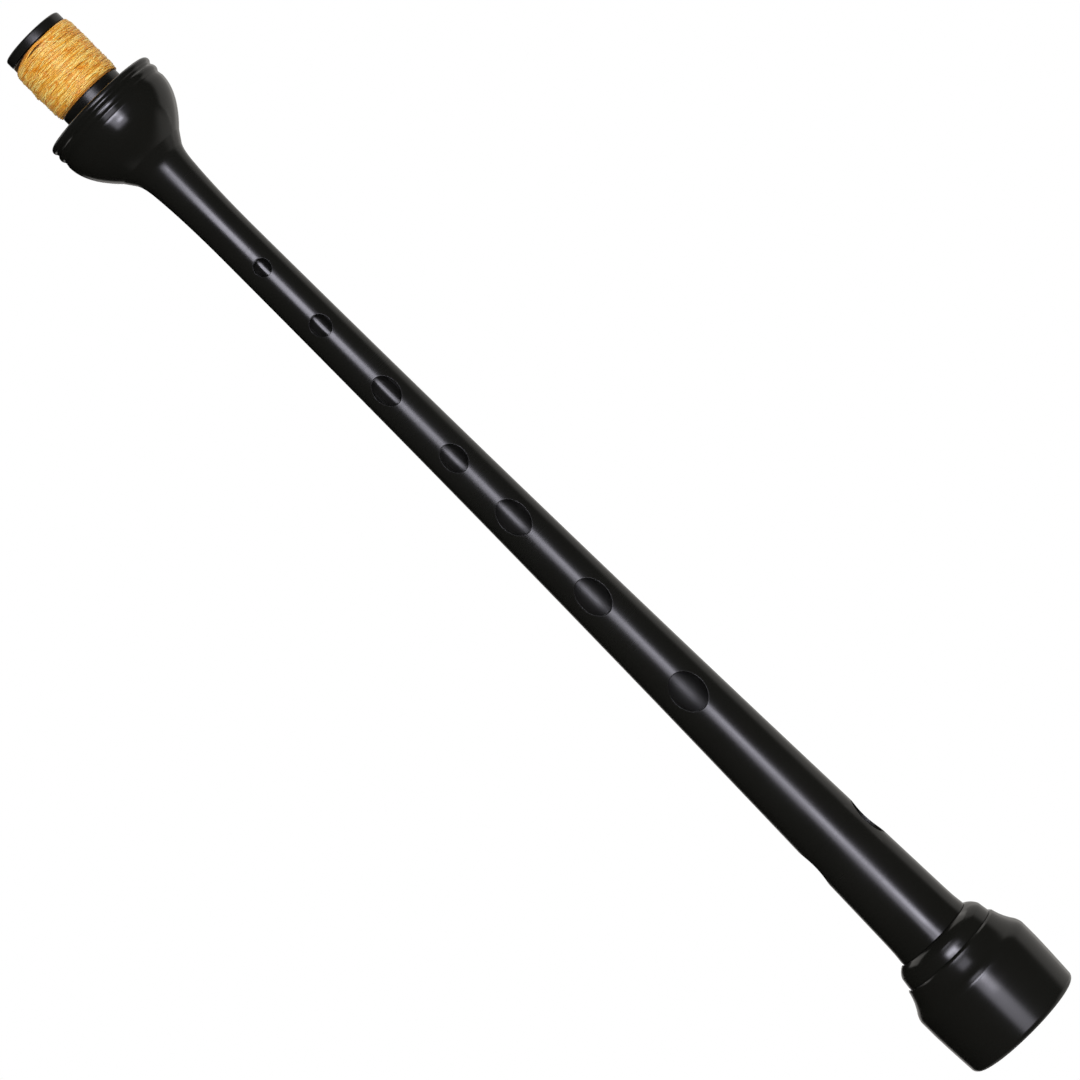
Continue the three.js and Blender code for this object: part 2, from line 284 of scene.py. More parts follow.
@dataclass(frozen=True)
class WaxedHemp:
    """Hemp yarn, spun flat and drawn through wax before it was wound.

    Pale straw fibres lie over golden ones, and the yarn is deep orange where the wax has soaked in. The
    wax gives a low soft shine, and a few fibres have a pinkish cast.
    """

    name: str = "waxed_hemp"
    # The tone ramp's low end is painted shade, the colour of shadow deep between the strands
    shade: str = "#AE6413"
    gold: str = "#EFB030"
    straw: str = "#FFEC8C"
    orange: str = "#E28C00"
    blush: str = "#DDA478"
    # Painted shade in the gap where the last loop parts, and also the bare tenon's own black where the loops
    # run down
    hollow: str = "#0D0804"
    roughness: float = 0.37
    ior: float = 1.46
    # Loose fibre ends catch light along the outline
    sheen: float = 0.12
    sheen_roughness: float = 0.45
    sheen_tint: str = "#FFD690"
    # Fibres run round the tenon, so their pattern is ten times finer along the bore than round it
    fibres: Cloud = Cloud(0.2, (0.3, 0.7), (-0.22, 0.22), longer_round=10.0)
    fibre_depth_mm: float = 0.05
    fibre_relief: float = 0.8
    # Wax creeps along the fibres, so its patches are two and a half times longer round the tenon
    soak: Cloud = Cloud(1.0, (0.5, 0.66), (0.0, 0.85), longer_round=2.5)
    cast: Cloud = Cloud(1.0, (0.56, 0.72), (0.0, 0.4))

    def build(self) -> Material:
        """Makes the material. The mesh's tone attribute gives each fibre's tone, blush and darkness, partly
        painted shade.

        Returns:
            The finished material.
        """
        material, tree = new_material(self.name)
        tone = add_node(tree, "ShaderNodeAttribute", attribute_name="tone")
        parts = add_node(tree, "ShaderNodeSeparateColor", {"Color": tone}).outputs
        places = add_node(tree, "ShaderNodeTexCoord").outputs["Object"]
        pattern, shift = self.fibres.add(tree, places)
        soaked, cast = (cloud.add(tree, places)[1] for cloud in (self.soak, self.cast))
        level = add_node(tree, "ShaderNodeMath", {0: parts["Red"], 1: shift}, operation="ADD")
        colour = add_node(tree, "ShaderNodeValToRGB", {"Fac": level})
        self.fill_ramp(colour)
        patches = ((soaked, self.orange), (cast, self.blush))
        # The blue channel mixes in painted shade where the last loop parts, and the bare tenon's own black
        for share, tint in (*patches, (parts["Green"], self.blush), (parts["Blue"], self.hollow)):
            layer = {"Factor": share, "A": colour, "B": linear(tint)}
            colour = add_node(tree, "ShaderNodeMix", layer, data_type="RGBA")
        relief = {"Height": pattern, "Distance": self.fibre_depth_mm * MM, "Strength": self.fibre_relief}
        look = {
            "Base Color": colour,
            "Roughness": self.roughness,
            "IOR": self.ior,
            "Normal": add_node(tree, "ShaderNodeBump", relief),
            "Sheen Weight": self.sheen,
            "Sheen Roughness": self.sheen_roughness,
            "Sheen Tint": linear(self.sheen_tint),
        }
        shader = add_node(tree, "ShaderNodeBsdfPrincipled", look)
        add_node(tree, "ShaderNodeOutputMaterial", {"Surface": shader})
        return material

    def fill_ramp(self, ramp: Node) -> None:
        """Sets a colour ramp to go from painted shade over golden to pale fibre.

        Args:
            ramp: The colour ramp node.
        """
        stops = ramp.color_ramp.elements
        stops[0].position, stops[0].color = 0.0, linear(self.shade)
        stops[1].position, stops[1].color = 1.0, linear(self.straw)
        middle = stops.new(0.5)
        middle.color = linear(self.gold)


# Outlines and meshes


# A corner's round takes up at most this share of the way to the next corner. The close point beside it
# lies farther from the corner by a factor, and at most this other share of the way.
ROUND_SHARE = 0.45
CLOSE_FACTOR = 1.25
CLOSE_SHARE = 0.49


def bend(start: Spot, pull: Spot, end: Spot, steps: int) -> list[Spot]:
    """Gives points of a curve from start to end, pulled towards one middle point.

    Args:
        start: First point, as radius and height.
        pull: The point that the curve leans towards.
        end: Last point.
        steps: How many straight steps stand for the curve.

    Returns:
        The points, both ends among them.
    """
    points = []
    for i in range(steps + 1):
        t = i / steps
        weights = ((1 - t) ** 2, 2 * t * (1 - t), t**2)
        points.append(tuple(sum(w * p[axis] for w, p in zip(weights, (start, pull, end))) for axis in (0, 1)))
    return points


def arc(middle: Spot, radius: float, start_deg: float, end_deg: float, steps: int) -> list[Spot]:
    """Gives points of a round edge from one angle to another, 0 pointing away from the bore's line."""
    angles = [math.radians(start_deg + (end_deg - start_deg) * i / steps) for i in range(steps + 1)]
    return [(middle[0] + radius * math.cos(a), middle[1] + radius * math.sin(a)) for a in angles]


def between(start: Spot, end: Spot, radius_share: float, height_share: float) -> Spot:
    """Gives the point that lies at its own share of the way in radius and in height."""
    return start[0] + (end[0] - start[0]) * radius_share, start[1] + (end[1] - start[1]) * height_share


def ease(share: float) -> float:
    """Gives a smooth rise from 0 to 1 as the share goes from 0 to 1."""
    kept = min(max(share, 0.0), 1.0)
    return kept * kept * (3 - 2 * kept)


def turn_from(heading: float, angle: float) -> float:
    """Gives how far an angle is from a heading, from -180 to 180 degrees."""
    return (angle - heading + 180) % 360 - 180


def plain(points: Sequence[Spot]) -> list[Knot]:
    """Marks points of a curve as needing no rounding."""
    return [(radius, height, 0.0) for radius, height in points]


def rounded(knots: Sequence[Knot], steps: int = 5, closed: bool = False) -> list[Spot]:
    """Rounds the corners of an outline and keeps a close point on each side of every round.

    Args:
        knots: Radius, height and size of round for each corner, with 0 for a point to keep.
        steps: How many straight steps stand for a round.
        closed: Whether the last corner joins the first.

    Returns:
        The outline's points.
    """
    points: list[Spot] = []
    count = len(knots)
    for i, (radius, height, size) in enumerate(knots):
        tip = Vector((radius, height))
        at_end = not closed and i in (0, count - 1)
        if size <= 0 or at_end:
            points.append((radius, height))
            continue
        sides = []
        for step in (-1, 1):
            way = Vector(knots[(i + step) % count][:2]) - tip
            reach = min(size, way.length * ROUND_SHARE)
            close = min(reach * CLOSE_FACTOR, way.length * CLOSE_SHARE)
            sides.append([tip + way.normalized() * distance for distance in (reach, close)])
        (start, before), (end, after) = sides
        points.append(tuple(before))
        points.extend(bend(tuple(start), tuple(tip), tuple(end), steps))
        points.append(tuple(after))
    return points


class Skin:
    """Gathers the points and faces of one mesh in millimetres, then makes it in metres."""

    def __init__(self) -> None:
        """Starts with nothing in the mesh."""
        self.points: list[tuple[float, float, float]] = []
        self.faces: list[tuple[int, ...]] = []

    def add(self, place: Sequence[float]) -> int:
        """Adds a point and gives its number in the mesh."""
        self.points.append((place[0], place[1], place[2]))
        return len(self.points) - 1

    def strip(self, first: Sequence[int], second: Sequence[int]) -> None:
        """Joins two closed loops of equal count with four-sided faces.

        Args:
            first: Point numbers round one loop.
            second: Point numbers round the other, from the same start.
        """
        count = len(first)
        for k in range(count):
            after = (k + 1) % count
            self.faces.append((first[k], first[after], second[after], second[k]))

    def zip_loops(self, outer: Sequence[tuple[float, int]], inner: Sequence[tuple[float, int]]) -> None:
        """Joins two closed loops of different counts with triangles.

        Args:
            outer: Share of a turn and point number round the outer loop, in rising order.
            inner: The same for the inner loop.
        """
        loops = (outer, inner)
        at = [0, 0]
        while at[0] < len(outer) or at[1] < len(inner):
            ahead = []
            for loop, k in zip(loops, at):
                turn = loop[(k + 1) % len(loop)][0] + (k + 1) // len(loop)
                ahead.append(turn if k < len(loop) else math.inf)
            here, inside = (loop[k % len(loop)][1] for loop, k in zip(loops, at))
            mover = 0 if ahead[0] <= ahead[1] else 1
            at[mover] += 1
            loop = loops[mover]
            self.faces.append((here, loop[at[mover] % len(loop)][1], inside))

    def make(self, name: str, material: Material, tones: Sequence[float] | None = None) -> Object:
        """Makes the mesh object.

        Args:
            name: The piece's name.
            material: Its material.
            tones: Four numbers a point for the tone attribute, where the material reads one.

        Returns:
            The object, linked to the scene.
        """
        mesh = bpy.data.meshes.new(name)
        mesh.from_pydata([tuple(c * MM for c in p) for p in self.points], [], self.faces)
        mesh.polygons.foreach_set("use_smooth", [True] * len(mesh.polygons))
        if tones is not None:
            layer = mesh.color_attributes.new("tone", "FLOAT_COLOR", "POINT")
            layer.data.foreach_set("color", tones)
        mesh.materials.append(material)
        mesh.update()
        piece = bpy.data.objects.new(name, mesh)
        bpy.context.scene.collection.objects.link(piece)
        return piece


def dress(piece: Object, slot: Slot, *nodes: str) -> None:
    """Makes a piece ride on the body, in place of construction nodes.

    Args:
        piece: The finished piece.
        slot: Not used.
        nodes: The construction nodes that it stands for.
    """
    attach(piece, "root")
    if nodes:
        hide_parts(*nodes)
    LOG.info("%s: %d faces, stands for %s", piece.name, len(piece.data.polygons), nodes or "nothing")


def turned_skin(outline: Sequence[Spot], sides: int) -> Skin:
    """Spins a closed outline round the bore's line.

    Args:
        outline: Radius and height of each point, outside first, going up.
        sides: How many faces go round.

    Returns:
        The closed skin.
    """
    skin = Skin()
    angles = [math.tau * i / sides for i in range(sides)]
    rows = []
    for radius, height in outline:
        rows.append([skin.add((radius * math.sin(a), -radius * math.cos(a), height)) for a in angles])
    for row, above in zip(rows, rows[1:] + rows[:1]):
        skin.strip(row, above)
    return skin


# Body


@dataclass(frozen=True)
class ToneHole:
    """An oval hole through the pipe's wall, its long side along the bore."""

    height: float
    length: float
    width: float
    heading: float
    edge: float

    def spot(self, share: float, grow: float) -> Spot:
        """Gives a point of the oval.

        Args:
            share: How far round the oval, as a share of a turn.
            grow: How far outside the oval the point lies.

        Returns:
            Distance across the pipe from the hole's middle, and height.
        """
        angle = math.tau * share
        across = (self.width / 2 + grow) * math.cos(angle)
        return across, self.height + (self.length / 2 + grow) * math.sin(angle)


@dataclass
class ChanterBody:
    """The pipe: spigot, stem with its holes, cove, beaded bulb, tenon, reed seat and bore."""

    material: Material
    sides: int = 160
    hole_points: int = 96
    spigot_radius: float = 10.0
    # Stem, from its flared foot to the slim neck
    stem_foot_radius: float = 11.3
    stem_flare_radius: float = 10.8
    stem_flare_height: float = 5.5
    stem_flare_bend_shares: Spot = (0.8, 0.5)
    stem_taper_shares: Spot = (0.896, 0.508)
    neck_radius: float = 6.02
    neck_top_radius: float = 6.87
    neck_height: float = 23.0
    neck_bend_shares: Spot = (0.0, 0.6)
    # How many steps the flare, the stem and the neck are read in
    stem_steps: tuple[int, int, int] = (20, 160, 40)
    # Cove under the bulb, with a steeper flank up to the crease
    cove_radius: float = 10.2
    cove_height: float = 8.1
    cove_flank_radius: float = 8.25
    cove_flank_height: float = 2.8
    cove_hollow_shares: Spot = (0.28, 0.76)
    cove_flank_shares: Spot = (0.48, 0.5)
    cove_steps: tuple[int, int] = (14, 4)
    bulb_underside_shares: Spot = (1.0, 0.54)
    bulb_height: float = 13.0
    bulb_lip_height: float = 1.4
    bulb_steps: int = 30
    bead_proud: float = 0.28
    bead_height: float = 2.4
    bead_steps: int = 12
    top_bead_radius: float = 1.05
    top_bead_steps: int = 16
    groove_depth: float = 0.25
    groove_width: float = 0.4
    # Tenon, with its end rim and the seat that the hemp is wound on
    rim_radius: float = 9.3
    rim_height: float = 2.65
    rim_round: float = 0.6
    rim_steps: int = 8
    seat_depth: float = 1.65
    seat_height: float = 18.6
    shoulder_radius: float = 9.38
    shoulder_height: float = 3.25
    # Reed seat, throat and bore
    reed_seat_radius: float = 4.25
    reed_seat_taper: float = 0.5
    reed_seat_depth: float = 18.0
    throat_radius: float = 2.0
    throat_length: float = 2.0
    bore_foot_radius: float = 8.25
    crisp_edge: float = 0.12
    soft_edge: float = 0.24
    reed_seat_edge: float = 0.48
    # The pipe's rows lie at most this far apart, and closer in the windows that the holes are set in.
    # Two rows within the least step of each other are one.
    row_step: float = 3.0
    window_step: float = 0.9
    window_margin: float = 1.4
    least_step: float = 0.009
    # Finger holes from the top down, as shares of the chanter's length and of the largest hole
    longest_hole: float = 11.75
    widest_hole: float = 9.0
    hole_height_shares: tuple[float, ...] = (0.7672, 0.7089, 0.643, 0.5753, 0.5158, 0.4359, 0.3407)
    hole_length_shares: tuple[float, ...] = (0.443, 0.545, 0.757, 0.723, 0.936, 0.97, 1.0)
    hole_width_shares: tuple[float, ...] = (0.522, 0.622, 0.744, 0.722, 0.856, 0.889, 1.0)
    # The largest finger hole's round edge; the others' are in step with their lengths
    finger_edge: float = 0.25
    hole_edge: float = 0.16
    thumb_height_share: float = 0.806
    thumb_hole: Spot = (6.2, 5.5)
    thumb_heading: float = 180.0
    sound_height_share: float = 0.1858
    sound_hole: Spot = (12.0, 8.2)
    sound_headings: Spot = (85.0, 265.0)
    outer_line: list[Spot] = field(default_factory=list)

    def __post_init__(self) -> None:
        """Works out the heights from the frame."""
        low, high = box_mm("chanter_body")
        self.length = high.z
        self.spigot_bottom = low.z
        self.bead_radius = high.x
        self.bulb_radius = self.bead_radius - self.bead_proud
        # The seam that shows is thinner than the construction's, and its middle stays where it is
        collar_bottom, collar_top = (corner.z for corner in box_mm("sole_collar"))
        gap = collar_bottom - box_mm("sole_cup")[1].z
        self.stem_bottom = collar_top + (gap + SEAM) / 2
        self.rim_bottom = self.length - self.rim_height
        self.shoulder_top = self.rim_bottom - self.seat_height
        self.bulb_top = self.shoulder_top - self.shoulder_height
        self.top_bead = self.bulb_top - self.top_bead_radius
        self.upper_groove = self.top_bead - self.top_bead_radius - self.groove_width / 2
        self.lower_bead = self.upper_groove - self.groove_width / 2 - self.bead_height / 2
        self.lower_groove = self.lower_bead - self.bead_height / 2 - self.groove_width / 2
        self.bulb_widest = self.lower_groove - self.bulb_lip_height
        self.bulb_bottom = self.bulb_widest - self.bulb_height
        self.neck_top = self.bulb_bottom - self.cove_height
        self.neck_bottom = self.neck_top - self.neck_height
        self.reed_seat_bottom = self.length - self.reed_seat_depth
        self.throat_bottom = self.reed_seat_bottom - self.throat_length

    def holes(self) -> list[ToneHole]:
        """Lists the tone holes.

        Returns:
            The finger holes from the top down, the thumb hole and the two sound holes.
        """
        found = []
        shares = zip(self.hole_height_shares, self.hole_length_shares, self.hole_width_shares)
        for height, length, width in shares:
            size = (self.longest_hole * length, self.widest_hole * width)
            found.append(ToneHole(self.length * height, *size, 0.0, self.finger_edge * length))
        thumb_height = self.length * self.thumb_height_share
        found.append(ToneHole(thumb_height, *self.thumb_hole, self.thumb_heading, self.hole_edge))
        sound_height = self.length * self.sound_height_share
        for heading in self.sound_headings:
            found.append(ToneHole(sound_height, *self.sound_hole, heading, self.hole_edge))
        return found

    def stem_line(self) -> list[Spot]:
        """Gives the stem's and neck's outline, close enough to read a radius at any height.

        Returns:
            Radius and height of each point, going up.
        """
        foot = (self.stem_foot_radius, self.stem_bottom)
        flare = (self.stem_flare_radius, self.stem_bottom + self.stem_flare_height)
        neck = (self.neck_radius, self.neck_bottom)
        top = (self.neck_top_radius, self.neck_top)
        ends = ((foot, flare), (flare, neck), (neck, top))
        pulls = (self.stem_flare_bend_shares, self.stem_taper_shares, self.neck_bend_shares)
        line = [foot]
        for (start, end), pull, steps in zip(ends, pulls, self.stem_steps):
            line += bend(start, between(start, end, *pull), end, steps)[1:]
        return line

    def outer_radius(self, height: float) -> float:
        """Reads the stem's radius.

        Args:
            height: Where it is read.

        Returns:
            The radius there, or the neck's top radius above the stem.
        """
        line = self.outer_line
        for (r0, z0), (r1, z1) in zip(line, line[1:]):
            if height <= z1:
                return r0 + (r1 - r0) * max(height - z0, 0.0) / (z1 - z0)
        return line[-1][0]

    def bore_radius(self, height: float) -> float:
        """Reads the long cone's radius at a height."""
        share = (self.throat_bottom - height) / (self.throat_bottom - self.spigot_bottom)
        return self.throat_radius + (self.bore_foot_radius - self.throat_radius) * share

    def bulb_knots(self) -> list[Knot]:
        """Gives the cove, the bulb and its beads.

        Returns:
            The outline's corners from the top of the neck to the top of the bulb, going up.
        """
        neck_top = (self.neck_top_radius, self.neck_top)
        flank = (self.cove_flank_radius, self.bulb_bottom - self.cove_flank_height)
        crease = (self.cove_radius, self.bulb_bottom)
        widest = (self.bulb_radius, self.bulb_widest)
        groove = self.bulb_radius - self.groove_depth
        rise = self.bead_radius - groove
        half = self.bead_height / 2
        bead_arc = (half * half + rise * rise) / (2 * rise)
        bead_angle = math.degrees(math.asin(half / bead_arc))
        bead_middle = (self.bead_radius - bead_arc, self.lower_bead)
        top_angle = math.degrees(math.acos(1 - rise / self.top_bead_radius))
        top_middle = (self.bead_radius - self.top_bead_radius, self.top_bead)
        hollow = bend(neck_top, between(neck_top, flank, *self.cove_hollow_shares), flank, self.cove_steps[0])
        edge = bend(flank, between(flank, crease, *self.cove_flank_shares), crease, self.cove_steps[1])
        belly = bend(crease, between(crease, widest, *self.bulb_underside_shares), widest, self.bulb_steps)
        knots = [(*neck_top, 0.0), *plain(hollow[1:] + edge[1:-1])]
        knots += [(*crease, self.crisp_edge), *plain(belly[2:])]
        knots.append((groove, self.lower_groove, self.groove_width / 2))
        knots += plain(arc(bead_middle, bead_arc, -bead_angle, bead_angle, self.bead_steps)[1:-1])
        knots.append((groove, self.upper_groove, self.groove_width / 2))
        knots += plain(arc(top_middle, self.top_bead_radius, -top_angle, 90.0, self.top_bead_steps)[1:])
        return knots

    def tenon_knots(self) -> list[Knot]:
        """Gives the tenon and what is bored into its end.

        Returns:
            The outline's corners from the shoulder over the rim down to the foot of the throat.
        """
        seat = self.rim_radius - self.seat_depth
        rim_middle = (self.rim_radius - self.rim_round, self.length - self.rim_round)
        throat_top = self.reed_seat_bottom - self.throat_length / 2
        return [
            (self.shoulder_radius, self.bulb_top, self.crisp_edge),
            (self.shoulder_radius, self.shoulder_top, self.soft_edge),
            (seat, self.shoulder_top, self.crisp_edge),
            (seat, self.rim_bottom, self.crisp_edge),
            (self.rim_radius, self.rim_bottom, self.soft_edge),
            *plain(arc(rim_middle, self.rim_round, 0.0, 90.0, self.rim_steps)),
            (self.reed_seat_radius, self.length, self.reed_seat_edge),
            (self.reed_seat_radius - self.reed_seat_taper, self.reed_seat_bottom, self.crisp_edge),
            (self.throat_radius, throat_top, self.crisp_edge),
            (self.throat_radius, self.throat_bottom, 0.0),
        ]

    def pipe_heights(self, low: float, high: float) -> list[float]:
        """Gives the heights of the pipe's rows, close together beside the holes.

        Args:
            low: First height.
            high: Last height.

        Returns:
            Rising heights, with the edges of each hole's window among them.
        """
        edges = {low, high}
        for hole in self.holes():
            bottom, top = self.window(hole)
            steps = math.ceil((top - bottom) / self.window_step)
            edges.update(bottom + (top - bottom) * i / steps for i in range(steps + 1))
        heights = sorted(edges)
        filled = [heights[0]]
        for here in heights[1:]:
            start = filled[-1]
            if here - start >= self.least_step:
                steps = max(1, math.ceil((here - start) / self.row_step))
                filled += [start + (here - start) * i / steps for i in range(1, steps + 1)]
        return filled

    def window(self, hole: ToneHole) -> Spot:
        """Gives the lowest and highest row of the window that a hole is set in."""
        reach = hole.length / 2 + hole.edge + self.window_margin
        return hole.height - reach, hole.height + reach

    def build(self) -> Object:
        """Makes the body's mesh.

        Returns:
            The finished piece.
        """
        self.outer_line = self.stem_line()
        foot = [
            (self.bore_foot_radius, self.spigot_bottom, 0.0),
            (self.spigot_radius, self.spigot_bottom, self.crisp_edge),
            (self.spigot_radius, self.stem_bottom, self.crisp_edge),
            (self.stem_foot_radius, self.stem_bottom, self.crisp_edge),
            (*self.outer_line[1], 0.0),
        ]
        start = rounded(foot)[1:-1]
        outer_heights = self.pipe_heights(self.outer_line[1][1], self.neck_top)
        bore_heights = reversed(self.pipe_heights(self.spigot_bottom, self.throat_bottom))
        outer = [(self.outer_radius(z), z) for z in outer_heights]
        top = rounded(self.bulb_knots() + self.tenon_knots())[1:-1]
        bore = [(self.bore_radius(z), z) for z in bore_heights]
        outside = Wall(len(start), len(outer), self.outer_radius, 1)
        inside = Wall(len(start + outer + top), len(bore), self.bore_radius, -1)
        pipe = HoledPipe(self, start + outer + top + bore, outside, inside)
        return pipe.make().make("chanter_body_turned", self.material)


@dataclass(frozen=True)
class Wall:
    """One side of the pipe's wall: its rows in the outline, and its radius at a height."""

    first: int
    count: int
    radius_at: Callable[[float], float]
    # 1 where its rows go up, -1 where they go down
    sense: int


@dataclass
class HoledPipe:
    """Spins the body's outline and sets each tone hole into windows of its outside and its bore."""

    body: ChanterBody
    outline: list[Spot]
    outside: Wall
    bore: Wall
    # Rings laid round a hole's lip, as multiples of its round edge, and the steps of its two edges
    lip_rings: Spot = (2.4, 1.25)
    lip_steps: int = 6
    inner_steps: int = 4
    # The round edge in the bore takes up at most this share of what the bore leaves beside the hole
    inner_edge_share: float = 0.4
    # A window's spare width in degrees, the share of the radius at which it is as wide as it can be, and
    # how far outside its edge a row still counts as in it
    spare_width: float = 5.0
    full_width: float = 0.999
    same_height: float = 1e-6
    skin: Skin = field(default_factory=Skin)
    grid: dict[tuple[int, int], int] = field(default_factory=dict)
    open_cells: set[tuple[int, int]] = field(default_factory=set)

    def vertex(self, column: int, row: int) -> int:
        """Gives a point of the turned grid, made when it is first asked for.

        Args:
            column: Which way round, counted from the front.
            row: Which point of the outline.

        Returns:
            The point's number in the mesh.
        """
        key = (column % self.body.sides, row % len(self.outline))
        if key not in self.grid:
            radius, height = self.outline[key[1]]
            angle = math.tau * key[0] / self.body.sides
            self.grid[key] = self.skin.add((radius * math.sin(angle), -radius * math.cos(angle), height))
        return self.grid[key]

    def make(self) -> Skin:
        """Sets the holes in, then fills the rest of the grid.

        Returns:
            The finished skin.
        """
        for hole in self.body.holes():
            self.set_hole(hole)
        for row in range(len(self.outline)):
            for column in range(self.body.sides):
                if (column, row) not in self.open_cells:
                    corners = ((column, row), (column + 1, row), (column + 1, row + 1), (column, row + 1))
                    self.skin.faces.append(tuple(self.vertex(*corner) for corner in corners))
        return self.skin

    def oval(self, hole: ToneHole, grow: float, wall: Wall) -> list[Vector]:
        """Gives a hole's oval on a round wall, as if the hole faced the front.

        Args:
            hole: The hole.
            grow: How far outside the oval the points lie.
            wall: The side of the wall.

        Returns:
            The points, one turn round.
        """
        points = []
        for k in range(self.body.hole_points):
            across, height = hole.spot(k / self.body.hole_points, grow)
            radius = wall.radius_at(height)
            points.append(Vector((across, -math.sqrt(max(radius * radius - across * across, 0.0)), height)))
        return points

    def ring(self, hole: ToneHole, places: Sequence[Vector]) -> list[int]:
        """Adds a ring of points, turned from the front to the hole's own heading."""
        spin = Matrix.Rotation(math.radians(hole.heading), 3, "Z")
        return [self.skin.add(spin @ place) for place in places]

    def set_hole(self, hole: ToneHole) -> None:
        """Opens both windows of a hole and fills them with its lip, wall and inner edge.

        Args:
            hole: The hole to set in.
        """
        spare = self.body.bore_radius(hole.height) - hole.width / 2
        inner_edge = min(hole.edge, spare * self.inner_edge_share)
        corners, lips = (self.oval(hole, grow, self.outside) for grow in (0.0, hole.edge))
        roots, inner_lips = (self.oval(hole, grow, self.bore) for grow in (0.0, inner_edge))
        walls = [corner + Vector((0.0, hole.edge, 0.0)) for corner in corners]
        inner_walls = [root - Vector((0.0, inner_edge, 0.0)) for root in roots]
        grown = [self.oval(hole, hole.edge * reach, self.outside) for reach in self.lip_rings]
        rings = [self.ring(hole, places) for places in grown]
        rings += self.curved_rings(hole, lips, corners, walls, self.lip_steps)
        rings.append(self.ring(hole, [wall.lerp(inner, 0.5) for wall, inner in zip(walls, inner_walls)]))
        rings += self.curved_rings(hole, inner_walls, roots, inner_lips, self.inner_steps)
        for first, second in zip(rings, rings[1:]):
            self.skin.strip(first, second)
        self.fill_window(hole, self.outside, rings[0], hole.edge * self.lip_rings[0])
        backwards = [rings[-1][0]] + rings[-1][:0:-1]
        self.fill_window(hole, self.bore, backwards, inner_edge)

    def curved_rings(
        self, hole: ToneHole, start: list[Vector], pull: list[Vector], end: list[Vector], steps: int
    ) -> list[list[int]]:
        """Adds rings that bend from one place to another, as a rounded edge does.

        Args:
            hole: The hole.
            start: The first ring's points.
            pull: The points that the rings between lean towards.
            end: The last ring's points.
            steps: How many strips lie between the first and the last ring.

        Returns:
            The rings' point numbers.
        """
        rings = []
        for i in range(steps + 1):
            t = i / steps
            first, middle, last = (1 - t) ** 2, 2 * t * (1 - t), t**2
            places = [a * first + b * middle + c * last for a, b, c in zip(start, pull, end)]
            rings.append(self.ring(hole, places))
        return rings

    def fill_window(self, hole: ToneHole, wall: Wall, ring: list[int], grow: float) -> None:
        """Opens the window of grid cells round a hole and joins its border to the hole's ring.

        Args:
            hole: The hole.
            wall: The side of the wall that the window is in.
            ring: The hole's ring of points on that side, in the border's direction.
            grow: How far the ring lies outside the oval.
        """
        sides = self.body.sides
        bottom, top = self.body.window(hole)
        lowest, highest = bottom - self.same_height, top + self.same_height
        numbers = range(wall.first, wall.first + wall.count)
        rows = [n for n in numbers if lowest <= self.outline[n][1] <= highest]
        first, last = rows[0], rows[-1]
        share = min(self.full_width, (hole.width / 2 + grow) / wall.radius_at(hole.height))
        half = math.ceil((math.degrees(math.asin(share)) + self.spare_width) * sides / 360)
        middle = round(hole.heading * sides / 360)
        for row in range(first, last):
            self.open_cells.update(((middle + c) % sides, row) for c in range(-half, half))
        border = [(c, first) for c in range(-half, half)]
        border += [(half, row) for row in range(first, last)]
        border += [(c, last) for c in range(half, -half, -1)]
        border += [(-half, row) for row in range(last, first, -1)]
        reach = (top - bottom) / 2
        loop = []
        for column, row in border:
            rise = wall.sense * (self.outline[row][1] - hole.height) / reach
            turn = math.atan2(rise, column / half) / math.tau % 1.0
            loop.append((turn, self.vertex(middle + column, row)))
        start = loop.index(min(loop))
        shares = [k / len(ring) for k in range(len(ring))]
        self.skin.zip_loops(loop[start:] + loop[:start], list(zip(shares, ring)))


# Sole and collar


